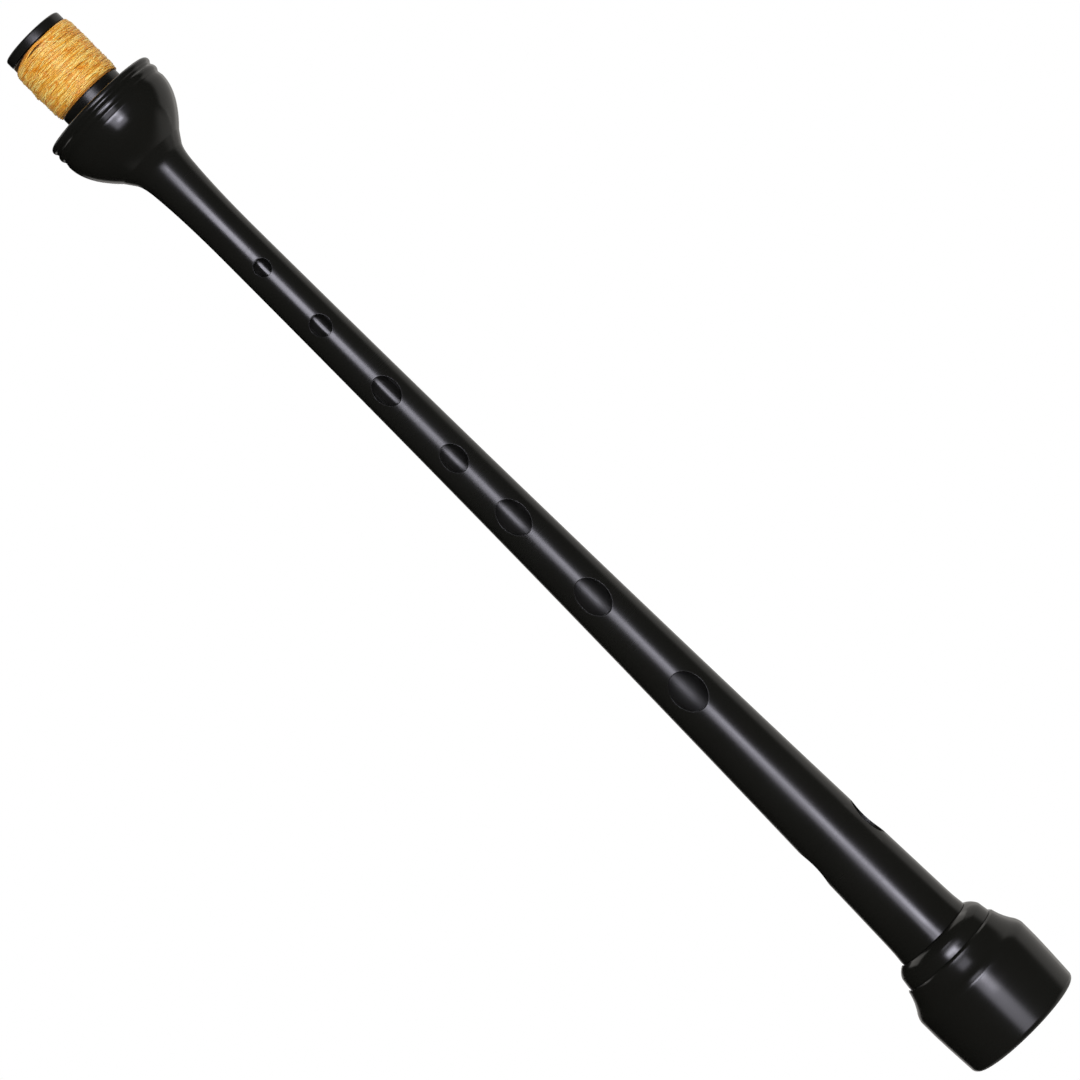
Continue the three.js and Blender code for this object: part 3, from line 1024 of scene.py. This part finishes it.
@dataclass
class Sole:
    """The cup round the foot and the collar above it, both seated on the body's spigot."""

    material: Material
    sides: int = 192
    # Cup, from its rounded foot over the belly and the straight wall to the flare
    taper: float = 0.59
    foot_round: float = 1.7
    foot_steps: int = 12
    belly_height: float = 14.5
    belly_bend_shares: Spot = (0.75, 0.6)
    belly_steps: int = 12
    wall_height: float = 19.2
    wall_shares: Spot = (0.3, 0.7)
    step: float = 0.75
    step_chamfer: float = 0.5
    edge_shares: Spot = (0.23, 0.304)
    edge_bend_shares: Spot = (0.0, 0.48)
    flare_bend_shares: Spot = (0.7, 0.44)
    flare_steps: int = 16
    # Socket for the spigot, and the mouth of the bore below it
    ledge_height: float = 4.0
    socket_radius: float = 10.3
    mouth_radius: float = 8.7
    mouth_flare: float = 0.5
    mouth_chamfer: float = 0.6
    collar_side_height: float = 3.1
    collar_side_drop: float = 0.48
    collar_shoulder_radius: float = 12.0
    collar_shoulder_drop: float = 0.3
    collar_bend_shares: Spot = (0.34, 0.64)
    collar_steps: int = 16
    collar_lip_radius: float = 11.5
    crisp_edge: float = 0.12

    def seam_shift(self) -> float:
        """Gives how far each face at a seam moves out to leave the thin seam."""
        return (box_mm("sole_collar")[0].z - box_mm("sole_cup")[1].z - SEAM) / 2

    def cup_wall(self, radius: float, flare_top: Spot) -> list[Spot]:
        """Gives the cup's outside.

        Args:
            radius: The cup's largest radius.
            flare_top: The flare's upper end.

        Returns:
            Points from the foot up to just below the flare's upper end.
        """
        foot_middle = (radius - self.taper - self.foot_round, self.foot_round)
        foot = arc(foot_middle, self.foot_round, -90.0, 0.0, self.foot_steps)
        belly = (radius, self.belly_height)
        wall_top = (radius, self.wall_height)
        edge = between(wall_top, flare_top, *self.edge_shares)
        belly_pull = between(foot[-1], belly, *self.belly_bend_shares)
        edge_pull = between(wall_top, edge, *self.edge_bend_shares)
        flare_pull = between(edge, flare_top, *self.flare_bend_shares)
        points = foot + bend(foot[-1], belly_pull, belly, self.belly_steps)[1:]
        points += [between(belly, wall_top, share, share) for share in self.wall_shares]
        points += bend(wall_top, edge_pull, edge, self.flare_steps)
        points += bend(edge, flare_pull, flare_top, self.flare_steps)[1:-1]
        return points

    def build_cup(self) -> Object:
        """Makes the cup.

        Returns:
            The finished piece.
        """
        high = box_mm("sole_cup")[1]
        height = high.z + self.seam_shift()
        top_radius = box_mm("sole_collar")[1].x + self.step
        flare_top = (top_radius, height - self.step_chamfer)
        mouth = self.mouth_radius + self.mouth_flare
        corners = [
            flare_top,
            (top_radius - self.step_chamfer, height),
            (self.socket_radius, height),
            (self.socket_radius, self.ledge_height),
            (self.mouth_radius, self.ledge_height),
            (mouth, self.mouth_chamfer),
            (mouth + self.mouth_chamfer, 0.0),
        ]
        knots = plain(self.cup_wall(high.x, flare_top)) + [(*corner, self.crisp_edge) for corner in corners]
        return turned_skin(rounded(knots, closed=True), self.sides).make("sole_cup_turned", self.material)

    def build_collar(self) -> Object:
        """Makes the collar.

        Returns:
            The finished piece.
        """
        low, high = box_mm("sole_collar")
        bottom, top = low.z - self.seam_shift(), high.z + self.seam_shift()
        side_top = (high.x - self.collar_side_drop, low.z + self.collar_side_height)
        shoulder = (self.collar_shoulder_radius, top - self.collar_shoulder_drop)
        pull = between(side_top, shoulder, *self.collar_bend_shares)
        corners = [(self.collar_lip_radius, top), (self.socket_radius, top), (self.socket_radius, bottom)]
        knots = [(high.x, bottom, self.crisp_edge), *plain(bend(side_top, pull, shoulder, self.collar_steps))]
        knots += [(*corner, self.crisp_edge) for corner in corners]
        return turned_skin(rounded(knots, closed=True), self.sides).make("sole_collar_turned", self.material)


# Hemp


@dataclass(frozen=True)
class YarnPass:
    """One run of the yarn along the tenon and how it lies."""

    name: str
    turns: float
    # Where it starts and ends, as shares of the winding's height
    start_share: float
    end_share: float
    # How far its middle lies below the winding's surface
    depth: float
    width: float
    wander: float
    fibres: int
    fibre_radius: float
    # From 0 for painted shade to 1 for pale fibre
    tone: float
    seed: int


@dataclass(frozen=True)
class Wisps:
    """Loose fibres of one kind that lie over the yarn."""

    count: int
    # The least and the greatest length, and how far the free end stands out
    length: Spot
    rise: Spot
    # How far they start below the winding's surface, and how much their slope varies, in radians
    depth: float
    tilt: float
    radius: float
    tone: Spot


@dataclass(frozen=True)
class Waver:
    """A smooth random change: how far it goes, and how fast along each line of its pattern."""

    reach: float
    paces: tuple[float, float, float]

    def at(self, *place: float) -> float:
        """Gives the change at a place in the pattern."""
        return self.reach * noise.noise(Vector([p * pace for p, pace in zip(place, self.paces)]))


@dataclass
class HempWinding:
    """The hemp on the tenon: a plain core, crossing runs of yarn and stray fibres."""

    material: Material
    # The yarn's middle keeps this far from both ends, and the surface falls in there, by a depth and with
    # a power that sets how close to the ends it falls
    end_margin: float = 0.32
    end_drop: float = 0.6
    end_power: float = 12.0
    # Yarn. Each run starts a little farther round, and its fibres twist round each other.
    start_step: float = 40.0
    fibre_sides: int = 5
    steps_per_turn: int = 60
    twist_per_turn: float = 7.0
    size_range: Spot = (0.8, 1.2)
    # The share of fibres with a pinkish cast, how strong it is, and how strong it is at most in the rest
    blush_share: float = 0.12
    strong_blush: float = 0.35
    faint_blush: float = 0.08
    # How the runs wander up and down and leave a ragged lower edge, both by turns and run, and how single
    # fibres twist, stray, stand out and change in tone and thickness, by turns or steps, fibre and run
    drift: Waver = Waver(1.6, (5.0, 5.1, 0.0))
    ragged: Waver = Waver(0.25, (4.0, 3.3, 0.0))
    twisting: Waver = Waver(1.5, (0.9, 3.7, 1.0))
    straying: Waver = Waver(0.12, (2.3, 9.1, 2.3))
    standing: Waver = Waver(0.1, (3.1, 5.3, 7.7))
    toning: Waver = Waver(0.6, (9.0, 11.3, 1.9))
    thinning: Waver = Waver(0.3, (0.05, 1.0, 1.0))
    # Headings are degrees round from the front towards +X. The last loop parts from the next one from
    # this heading on towards -X.
    parting_heading: float = 8.0
    parting_spread: float = 42.0
    parting_power: float = 0.7
    parting_below_rim: float = 0.8
    parting_half_width: float = 0.4
    parting_reach: float = 1.1
    # The loops near the rim run down from it on the -X side, stay down a little and come back behind
    slant_heading: float = 0.0
    slant_spread: float = 85.0
    slant_depth: float = 1.5
    slant_reach: float = 4.5
    slant_stay: float = 110.0
    slant_return: float = 180.0
    # A lump of yarn is caught under the top run on the -X side
    knot_heading: float = 268.0
    knot_height: float = 353.75
    knot_proud: float = 0.5
    knot_spread: float = 9.0
    knot_reach: float = 0.8
    # The lowest loops slide over the shoulder's edge on the +X side
    slip_heading: float = 95.0
    slip_spread: float = 36.0
    slip_depth: float = 1.5
    slip_reach: float = 0.9
    slip_radius: float = 9.4
    slip_onset: float = 0.3
    # Core of the lower layers. Its points past the outside radius are its outer face, which has the bare
    # radius where no loop covers it.
    core_depth: float = 0.75
    core_inner_radius: float = 7.95
    core_outside_radius: float = 8.15
    core_rows: int = 72
    core_sides: int = 96
    core_edge: float = 0.1
    ripple_depth: float = 0.05
    ripple_height: float = 0.8
    # The core's low tone lies near the ramp's painted shade end, for the shade deep between the fibres
    core_tone: float = 0.14
    core_toning: Waver = Waver(0.12, (0.4, 0.4, 2.5))
    core_blush: float = 0.1
    gap_blur: float = 0.1
    bare_radius: float = 9.25
    bare_blur: float = 0.3
    # Stray fibres: how far from both ends they start and stay, their curl, how they rise along their
    # length, and how they thin out towards their ends
    stray_starts: Spot = (0.3, 1.6)
    stray_limits: Spot = (0.1, 1.5)
    stray_curl: float = 0.3
    stray_rise_power: float = 1.2
    stray_lift_power: float = 1.6
    stray_thinning: float = 0.75
    stray_thinning_power: float = 3.0
    stray_steps: int = 9
    stray_sides: int = 4
    seed: int = 41
    wisps: tuple[Wisps, ...] = (
        Wisps(150, (1.0, 3.6), (0.05, 0.4), 0.08, 0.28, 0.035, (0.6, 0.9)),
        Wisps(300, (2.5, 7.0), (0.0, 0.03), 0.13, 0.15, 0.12, (0.6, 1.1)),
    )
    passes: tuple[YarnPass, ...] = (
        YarnPass("lower_run", 20.0, 0.0, 1.0, 0.55, 0.6, 0.06, 3, 0.26, 0.36, 3),
        YarnPass("top_run", 19.0, 1.0, 0.0, 0.36, 0.5, 0.2, 4, 0.16, 0.56, 7),
        YarnPass("edge_run", 0.75, 1.0, 1.0, 0.3, 0.3, 0.05, 3, 0.16, 0.5, 10),
        YarnPass("back_run", 6.3, 0.9, 0.04, 0.32, 0.5, 0.5, 4, 0.14, 0.64, 11),
        YarnPass("cross_run", 4.4, 0.05, 0.86, 0.27, 0.5, 0.6, 4, 0.13, 0.7, 17),
    )

    def __post_init__(self) -> None:
        """Reads the winding's box from the frame."""
        low, high = box_mm("hemp_under_layers")
        self.bottom, self.top = low.z, high.z
        self.radius = box_mm("hemp_outer_turns")[1].x

    def surface(self, height: float) -> float:
        """Gives the hemp's outer radius at a height, which falls in near both ends."""
        share = (height - self.bottom) / (self.top - self.bottom)
        return self.radius - self.end_drop * min(1.0, abs(2 * share - 1)) ** self.end_power

    def parting(self, angle: float) -> float:
        """Gives how far the last loop lies from the next one.

        Args:
            angle: Angle round the tenon from the front, in degrees.

        Returns:
            Half the width of the gap, 0 where the loops lie close.
        """
        share = (self.parting_heading - angle) % 360 / self.parting_spread
        if not 0 < share < 1:
            return 0.0
        return self.parting_half_width * math.sin(math.pi * share) ** self.parting_power

    def slant(self, angle: float, height: float) -> float:
        """Gives how far the loops near the rim run down from it on one side.

        Args:
            angle: Angle round the tenon from the front, in degrees.
            height: The fibre's height before it runs down.

        Returns:
            The fall in height.
        """
        turn = (self.slant_heading - angle) % 360
        fall = ease(turn / self.slant_spread) * (1 - ease((turn - self.slant_stay) / self.slant_return))
        return self.slant_depth * fall * math.exp((height - self.top) / self.slant_reach)

    def slip(self, angle: float, height: float) -> float:
        """Gives how far the lowest loops slide over the shoulder's edge at one side."""
        turn = turn_from(self.slip_heading, angle) / self.slip_spread
        return self.slip_depth * math.exp(-(turn * turn) - max(height - self.bottom, 0.0) / self.slip_reach)

    def lift(self, angle: float, height: float) -> float:
        """Gives how far a fibre stands out over the lump of caught yarn.

        Args:
            angle: Angle round the tenon from the front, in degrees.
            height: The fibre's height.

        Returns:
            The rise above where it would lie.
        """
        turn = turn_from(self.knot_heading, angle) / self.knot_spread
        rise = (height - self.knot_height) / self.knot_reach
        return self.knot_proud * math.exp(-(turn * turn) - rise * rise)

    def fibre_path(self, run: YarnPass, number: int) -> list[tuple[Vector, float]]:
        """Gives one fibre's route round the tenon.

        Args:
            run: The run of yarn that it belongs to.
            number: Which fibre of the yarn it is.

        Returns:
            Place and tone for each step.
        """
        steps = round(run.turns * self.steps_per_turn)
        span = self.top - self.bottom - 2 * self.end_margin
        phase = math.tau * number / run.fibres
        path = []
        for i in range(steps + 1):
            share = i / steps
            turns = run.turns * share
            angle = 360 * turns + run.seed * self.start_step
            # The yarn's middle climbs or falls along its run, and its fibres twist round that
            climbed = run.start_share + (run.end_share - run.start_share) * share
            middle = self.bottom + self.end_margin + span * climbed
            middle += run.wander * self.drift.at(turns, run.seed, 0.0)
            twist = phase + turns * self.twist_per_turn + self.twisting.at(turns, number, run.seed)
            height = middle + run.width / 2 * math.cos(twist) + self.straying.at(turns, number, run.seed)
            away = middle - self.top + self.parting_below_rim
            height += math.copysign(self.parting(angle), away) * math.exp(-((away / self.parting_reach) ** 2))
            ragged = abs(self.ragged.at(turns, run.seed, 0.0))
            height = min(max(height, self.bottom + run.fibre_radius + ragged), self.top - run.fibre_radius)
            # Spun flat, the yarn is half as thick as it is wide
            radius = self.surface(height) - run.depth + run.width / 4 * math.sin(twist)
            slipped = self.slip(angle, height)
            height -= self.slant(angle, height) + slipped
            on_shoulder = self.slip_radius + run.fibre_radius
            radius += max(on_shoulder - radius, 0.0) * min(slipped / self.slip_onset, 1.0)
            radius += self.standing.at(turns, number, run.seed)
            radius = min(radius, self.radius - run.fibre_radius) + self.lift(angle, height)
            tone = run.tone + self.toning.at(turns, number, run.seed)
            turned = math.radians(angle)
            path.append((Vector((radius * math.sin(turned), -radius * math.cos(turned), height)), tone))
        return path

    def tube(
        self,
        skin: Skin,
        tones: list[float],
        path: Sequence[tuple[Vector, float]],
        radii: Sequence[float],
        blush: float,
        sides: int,
    ) -> None:
        """Adds a thin closed tube along a path.

        Args:
            skin: The mesh that gets it.
            tones: The tone attribute's numbers, which grow with the mesh.
            path: Place and tone for each step.
            radii: The tube's radius at each step.
            blush: How far its colour leans to the blush tint.
            sides: How many faces go round it.
        """
        rings = []
        for i, (place, tone) in enumerate(path):
            along = (path[min(i + 1, len(path) - 1)][0] - path[max(i - 1, 0)][0]).normalized()
            out = Vector((place.x, place.y, 0.0)).normalized()
            side = along.cross(out).normalized()
            out = side.cross(along)
            ring = []
            for k in range(sides):
                angle = math.tau * k / sides
                across, up = radii[i] * math.cos(angle), radii[i] * math.sin(angle)
                ring.append(skin.add(place + side * across + out * up))
                tones.extend((tone, blush, 0.0, 1.0))
            rings.append(ring)
        for first, second in zip(rings, rings[1:]):
            skin.strip(first, second)
        skin.faces.append(tuple(reversed(rings[0])))
        skin.faces.append(tuple(rings[-1]))

    def build_yarn(self) -> Object:
        """Makes all runs of the yarn, fibre by fibre.

        Returns:
            The finished piece.
        """
        dice = random.Random(self.seed)
        skin, tones = Skin(), []
        for run in self.passes:
            LOG.info("%s: %d fibres, %.1f turns", run.name, run.fibres, run.turns)
            for number in range(run.fibres):
                path = self.fibre_path(run, number)
                size = run.fibre_radius * dice.uniform(*self.size_range)
                radii = [size * (1 + self.thinning.at(i, number, run.seed)) for i in range(len(path))]
                tinted = dice.random() < self.blush_share
                blush = self.strong_blush if tinted else dice.uniform(0.0, self.faint_blush)
                self.tube(skin, tones, path, radii, blush, self.fibre_sides)
        return skin.make("hemp_yarn_turns", self.material, tones)

    def build_core(self) -> Object:
        """Makes the lower layers that show between the fibres.

        They take painted shade in the gap where the last loop parts. Where the loops have run down from the
        rim they stand for the bare tenon, so they take its own black there and lie all at one radius.

        Returns:
            The finished piece.
        """
        knots = [(self.core_inner_radius, self.bottom, self.core_edge)]
        for i in range(self.core_rows + 1):
            height = self.bottom + (self.top - self.bottom) * i / self.core_rows
            ripple = self.ripple_depth * math.sin(height * math.tau / self.ripple_height)
            knots.append((self.surface(height) - self.core_depth + ripple, height, 0.0))
        knots.append((self.core_inner_radius, self.top, self.core_edge))
        skin = turned_skin(rounded(knots, closed=True), self.core_sides)
        parted = self.top - self.parting_below_rim
        tones = []
        for i, (x, y, z) in enumerate(skin.points):
            angle = math.degrees(math.atan2(x, -y))
            gap = self.parting(angle)
            away = z - parted + self.slant(angle, parted)
            # Painted shade in the gap where the last loop parts
            gap_shade = math.exp(-((away / (gap + self.gap_blur)) ** 2)) if gap else 0.0
            bare = ease((z - self.top + self.slant(angle, self.top)) / self.bare_blur)
            radius = math.hypot(x, y)
            if radius > self.core_outside_radius:
                grow = 1 + bare * (self.bare_radius / radius - 1)
                skin.points[i] = (x * grow, y * grow, z)
            tone = self.core_tone + self.core_toning.at(x, y, z)
            tones.extend((tone, self.core_blush, max(gap_shade, bare), 1.0))
        return skin.make("hemp_lower_layers", self.material, tones)

    def build_strays(self) -> Object:
        """Makes the short loose fibres that blur the winding's outline.

        Returns:
            The finished piece.
        """
        dice = random.Random(self.seed + 1)
        skin, tones = Skin(), []
        for wisps in self.wisps:
            for _ in range(wisps.count):
                path = self.stray_path(dice, wisps)
                off_middle = [abs(2 * i / self.stray_steps - 1) for i in range(self.stray_steps + 1)]
                thinned = [self.stray_thinning * off**self.stray_thinning_power for off in off_middle]
                radii = [wisps.radius * (1 - lost) for lost in thinned]
                self.tube(skin, tones, path, radii, 0.0, self.stray_sides)
        return skin.make("hemp_stray_fibres", self.material, tones)

    def stray_path(self, dice: random.Random, wisps: Wisps) -> list[tuple[Vector, float]]:
        """Gives one loose fibre's route over the winding.

        Args:
            dice: The source of its random lie.
            wisps: The kind of fibre.

        Returns:
            Place and tone for each step.
        """
        angle = dice.uniform(0.0, math.tau)
        height = dice.uniform(self.bottom + self.stray_starts[0], self.top - self.stray_starts[1])
        length = dice.uniform(*wisps.length)
        rise = dice.uniform(*wisps.rise) ** self.stray_rise_power
        tilt = dice.gauss(0.0, wisps.tilt)
        sense = dice.choice((-1, 1))
        curl = dice.uniform(-self.stray_curl, self.stray_curl)
        tone = dice.uniform(*wisps.tone)
        path = []
        for i in range(self.stray_steps + 1):
            share = i / self.stray_steps
            along = length * share
            turned = angle + sense * along * math.cos(tilt) / self.radius
            here = height + along * math.sin(tilt) + curl * share * share
            here = min(max(here, self.bottom + self.stray_limits[0]), self.top - self.stray_limits[1])
            radius = self.surface(here) - wisps.depth + rise * share**self.stray_lift_power
            here -= self.slant(math.degrees(turned), here)
            path.append((Vector((radius * math.sin(turned), -radius * math.cos(turned), here)), tone))
        return path


# Studio


class Tint(Enum):
    """The colours of the studio's lights."""

    KEY = "#E6E4F2"
    HALO = "#DCDCF4"
    ROOM = "#FFFBF6"
    REAR = "#F2F0F4"


@dataclass(frozen=True)
class Panel:
    """A flat light: where its middle stands seen from the object, its size and its brightness."""

    name: str
    heading: float
    distance: float
    height: float
    size: Spot
    radiance: float
    tint: Tint
    # How far in from each side its brightness fades, as shares of half its width and half its height
    fade: Spot = (0.0, 0.0)
    # 1 where it hangs overhead and faces down, -1 where it lies low and faces up
    level: int = 0


@dataclass
class Studio:
    """Camera, soft lights, white floor and white backdrop."""

    # The camera looks at a height on the object from a little right of the front, and its picture is
    # this wide where the object stands
    camera_distance: float = 1220.0
    camera_azimuth: float = 1.7
    camera_height: float = 204.0
    camera_across: float = 0.52
    aim_height: float = 179.65
    picture_width: float = 282.2
    sensor: float = 36.0
    roll: float = 45.155
    # The camera sees nothing nearer than this, in metres
    clip_start: float = 0.05
    # A light's side without a fade still ends over this share of its size
    hard_edge: float = 1e-4
    white: str = "#FFFFFF"
    stage_radius: float = 3000.0
    stage_sides: int = 64
    dome_rows: int = 16
    # The dome's lower edge lies below the floor, and these degrees lie between it and the top
    dome_low: float = -4.0
    dome_span: float = 92.0
    surround: float = 0.4
    panels: tuple[Panel, ...] = (
        Panel("key_softbox", 6.2, 1400.0, -55.0, (900.0, 1160.0), 4.1, Tint.KEY, (0.5, 0.5)),
        Panel("key_middle_lamp", 3.0, 1395.0, 180.0, (900.0, 620.0), 0.5, Tint.KEY, (0.5, 0.5)),
        Panel("key_high_lamp", 3.0, 1395.0, 1040.0, (900.0, 720.0), 2.9, Tint.KEY, (0.6, 0.35)),
        Panel("key_halo", 12.0, 1405.0, 150.0, (1500.0, 900.0), 0.35, Tint.HALO, (0.8, 0.6)),
        Panel("key_upper_lamp", 2.0, 1390.0, 390.0, (900.0, 280.0), 15.0, Tint.KEY, (0.6, 0.9)),
        Panel("key_crown_lamp", 8.0, 1385.0, 485.0, (1500.0, 160.0), 7.5, Tint.KEY, (0.9, 0.9)),
        Panel("key_lower_lamp", 9.0, 1390.0, -85.0, (430.0, 340.0), 9.0, Tint.KEY, (0.6, 0.9)),
        Panel("key_centre_strip", 10.5, 1385.0, 110.0, (300.0, 700.0), 4.5, Tint.KEY, (0.6, 0.5)),
        Panel("right_panel", 129.7, 1500.0, 450.0, (1950.0, 2300.0), 0.52, Tint.ROOM, (0.45, 0.0)),
        Panel("back_panel", 171.5, 1500.0, 450.0, (1300.0, 2300.0), 0.52, Tint.ROOM, (0.4, 0.0)),
        Panel("low_rear_panel", 196.0, 1500.0, -150.0, (750.0, 900.0), 0.5, Tint.ROOM, (0.3, 0.3)),
        Panel("rear_strip", 184.0, 1480.0, 200.0, (170.0, 1500.0), 4.0, Tint.REAR, (0.6, 0.2)),
        Panel("top_panel", 181.7, 1150.0, 1700.0, (3000.0, 1500.0), 0.9, Tint.ROOM, level=1),
        Panel("low_bounce", 145.0, 560.0, -500.0, (2000.0, 1300.0), 0.4, Tint.ROOM, (0.5, 0.6), -1),
    )

    def build_camera(self) -> None:
        """Sets the camera where the photograph was taken from, turned so that the pipe lies aslant."""
        turn = math.radians(self.camera_azimuth)
        across = Vector((math.cos(turn), math.sin(turn), 0.0)) * self.camera_across
        place = across + Vector((math.sin(turn), -math.cos(turn), 0.0)) * self.camera_distance
        place.z = self.camera_height
        aim = across + Vector((0.0, 0.0, self.aim_height))
        look = (aim - place).normalized()
        side = look.cross(Vector((0.0, 0.0, 1.0))).normalized()
        basis = Matrix((side, side.cross(look), -look)).transposed().to_4x4()
        data = bpy.data.cameras.new("camera")
        data.sensor_width = self.sensor
        data.lens = self.sensor * (aim - place).length / self.picture_width
        data.clip_start = self.clip_start
        camera = bpy.data.objects.new("camera", data)
        rolled = Matrix.Rotation(math.radians(-self.roll), 4, "Z")
        camera.matrix_world = Matrix.Translation(place * MM) @ basis @ rolled
        bpy.context.scene.collection.objects.link(camera)
        bpy.context.scene.camera = camera

    def build_light(self, panel: Panel) -> None:
        """Adds a flat soft light that faces the object's line, or straight down or up.

        Args:
            panel: The light's place, size and brightness.
        """
        data = bpy.data.lights.new(panel.name, "AREA")
        data.shape = "RECTANGLE"
        data.size, data.size_y = panel.size[0] * MM, panel.size[1] * MM
        # An area light's power is pi times its face's brightness times its area
        data.energy = panel.radiance * math.pi * data.size * data.size_y
        data.color = linear(panel.tint.value)[:3]
        if any(panel.fade):
            self.fade_light(data, panel.fade)
        light = bpy.data.objects.new(panel.name, data)
        turn = math.radians(panel.heading)
        place = Vector((math.sin(turn) * panel.distance, -math.cos(turn) * panel.distance, panel.height))
        facing = Vector((0.0, 0.0, panel.level)) if panel.level else Vector((place.x, place.y, 0.0))
        light.location = place * MM
        light.rotation_euler = facing.to_track_quat("Z", "Y").to_euler()
        light.visible_camera = False
        bpy.context.scene.collection.objects.link(light)

    def fade_light(self, data: Light, fade: Spot) -> None:
        """Makes a light's face fade towards its sides, as a softbox's cloth does.

        Args:
            data: The light.
            fade: How far in the fading starts across and up, as shares of half its size.
        """
        data.use_nodes = True
        tree = data.node_tree
        tree.nodes.clear()
        face = add_node(tree, "ShaderNodeNewGeometry").outputs["Parametric"]
        apart = add_node(tree, "ShaderNodeSeparateXYZ", {"Vector": face}).outputs
        levels = []
        for axis, share in zip("XY", fade):
            centred = add_node(tree, "ShaderNodeMath", {0: apart[axis], 1: 0.5}, operation="SUBTRACT")
            away = add_node(tree, "ShaderNodeMath", {0: centred}, operation="ABSOLUTE")
            edge = {"Value": away, "From Min": 0.5, "From Max": 0.5 - share / 2 - self.hard_edge}
            levels.append(add_node(tree, "ShaderNodeMapRange", edge, interpolation_type="SMOOTHSTEP"))
        both = add_node(tree, "ShaderNodeMath", {0: levels[0], 1: levels[1]}, operation="MULTIPLY")
        glow = add_node(tree, "ShaderNodeEmission", {"Strength": both})
        add_node(tree, "ShaderNodeOutputLight", {"Surface": glow})

    def build_lights(self) -> None:
        """Places the lights as the highlights in the photograph show them."""
        for panel in self.panels:
            self.build_light(panel)

    def build_stage(self) -> None:
        """Makes the white floor and the white dome behind it, neither of which lights the object."""
        material, tree = new_material("white_sweep")
        glow = add_node(tree, "ShaderNodeEmission", {"Color": linear(self.white), "Strength": 1.0})
        add_node(tree, "ShaderNodeOutputMaterial", {"Surface": glow})
        angles = [math.tau * i / self.stage_sides for i in range(self.stage_sides)]
        radius = self.stage_radius
        floor, dome = Skin(), Skin()
        rim = [(radius * math.cos(a), radius * math.sin(a), 0.0) for a in angles]
        floor.faces.append(tuple(floor.add(place) for place in rim))
        rows = []
        for j in range(self.dome_rows + 1):
            tilt = math.radians(self.dome_low + self.dome_span * j / self.dome_rows)
            flat, height = radius * math.cos(tilt), radius * math.sin(tilt)
            rows.append([dome.add((flat * math.cos(a), flat * math.sin(a), height)) for a in angles])
        for lower, upper in zip(rows, rows[1:]):
            dome.strip(upper, lower)
        for name, skin in (("studio_floor", floor), ("studio_backdrop", dome)):
            piece = skin.make(name, material)
            piece.visible_diffuse = piece.visible_glossy = piece.visible_transmission = False
            piece.visible_shadow = False

    def build_world(self) -> None:
        """Sets the white room's light, which reaches matt surfaces and isn't mirrored in glossy ones."""
        scene = bpy.context.scene
        world = bpy.data.worlds.new("studio")
        # Blender updates the scene's own world when its visibility is set, so it is in the scene first
        scene.world = world
        world.use_nodes = True
        ground = world.node_tree.nodes["Background"]
        ground.inputs["Color"].default_value = linear(self.white)
        ground.inputs["Strength"].default_value = self.surround
        world.cycles_visibility.glossy = False
        scene.view_settings.view_transform = "Standard"


def main() -> None:
    """Builds the chanter in its studio and reports each piece."""
    logging.basicConfig(level=logging.INFO, format="%(name)s %(message)s")
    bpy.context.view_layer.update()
    studio = Studio()
    studio.build_camera()
    acetal = TurnedAcetal().build()
    hemp = WaxedHemp().build()
    body = ChanterBody(acetal)
    dress(body.build(), Slot.BODY, "chanter_body")
    sole = Sole(acetal)
    dress(sole.build_collar(), Slot.SOLE, "sole_collar")
    dress(sole.build_cup(), Slot.SOLE, "sole_cup")
    winding = HempWinding(hemp)
    dress(winding.build_core(), Slot.HEMP, "hemp_under_layers")
    dress(winding.build_yarn(), Slot.HEMP, "hemp_outer_turns")
    dress(winding.build_strays(), Slot.HEMP)
    studio.build_stage()
    studio.build_lights()
    studio.build_world()


if __name__ == "__main__":
    main()
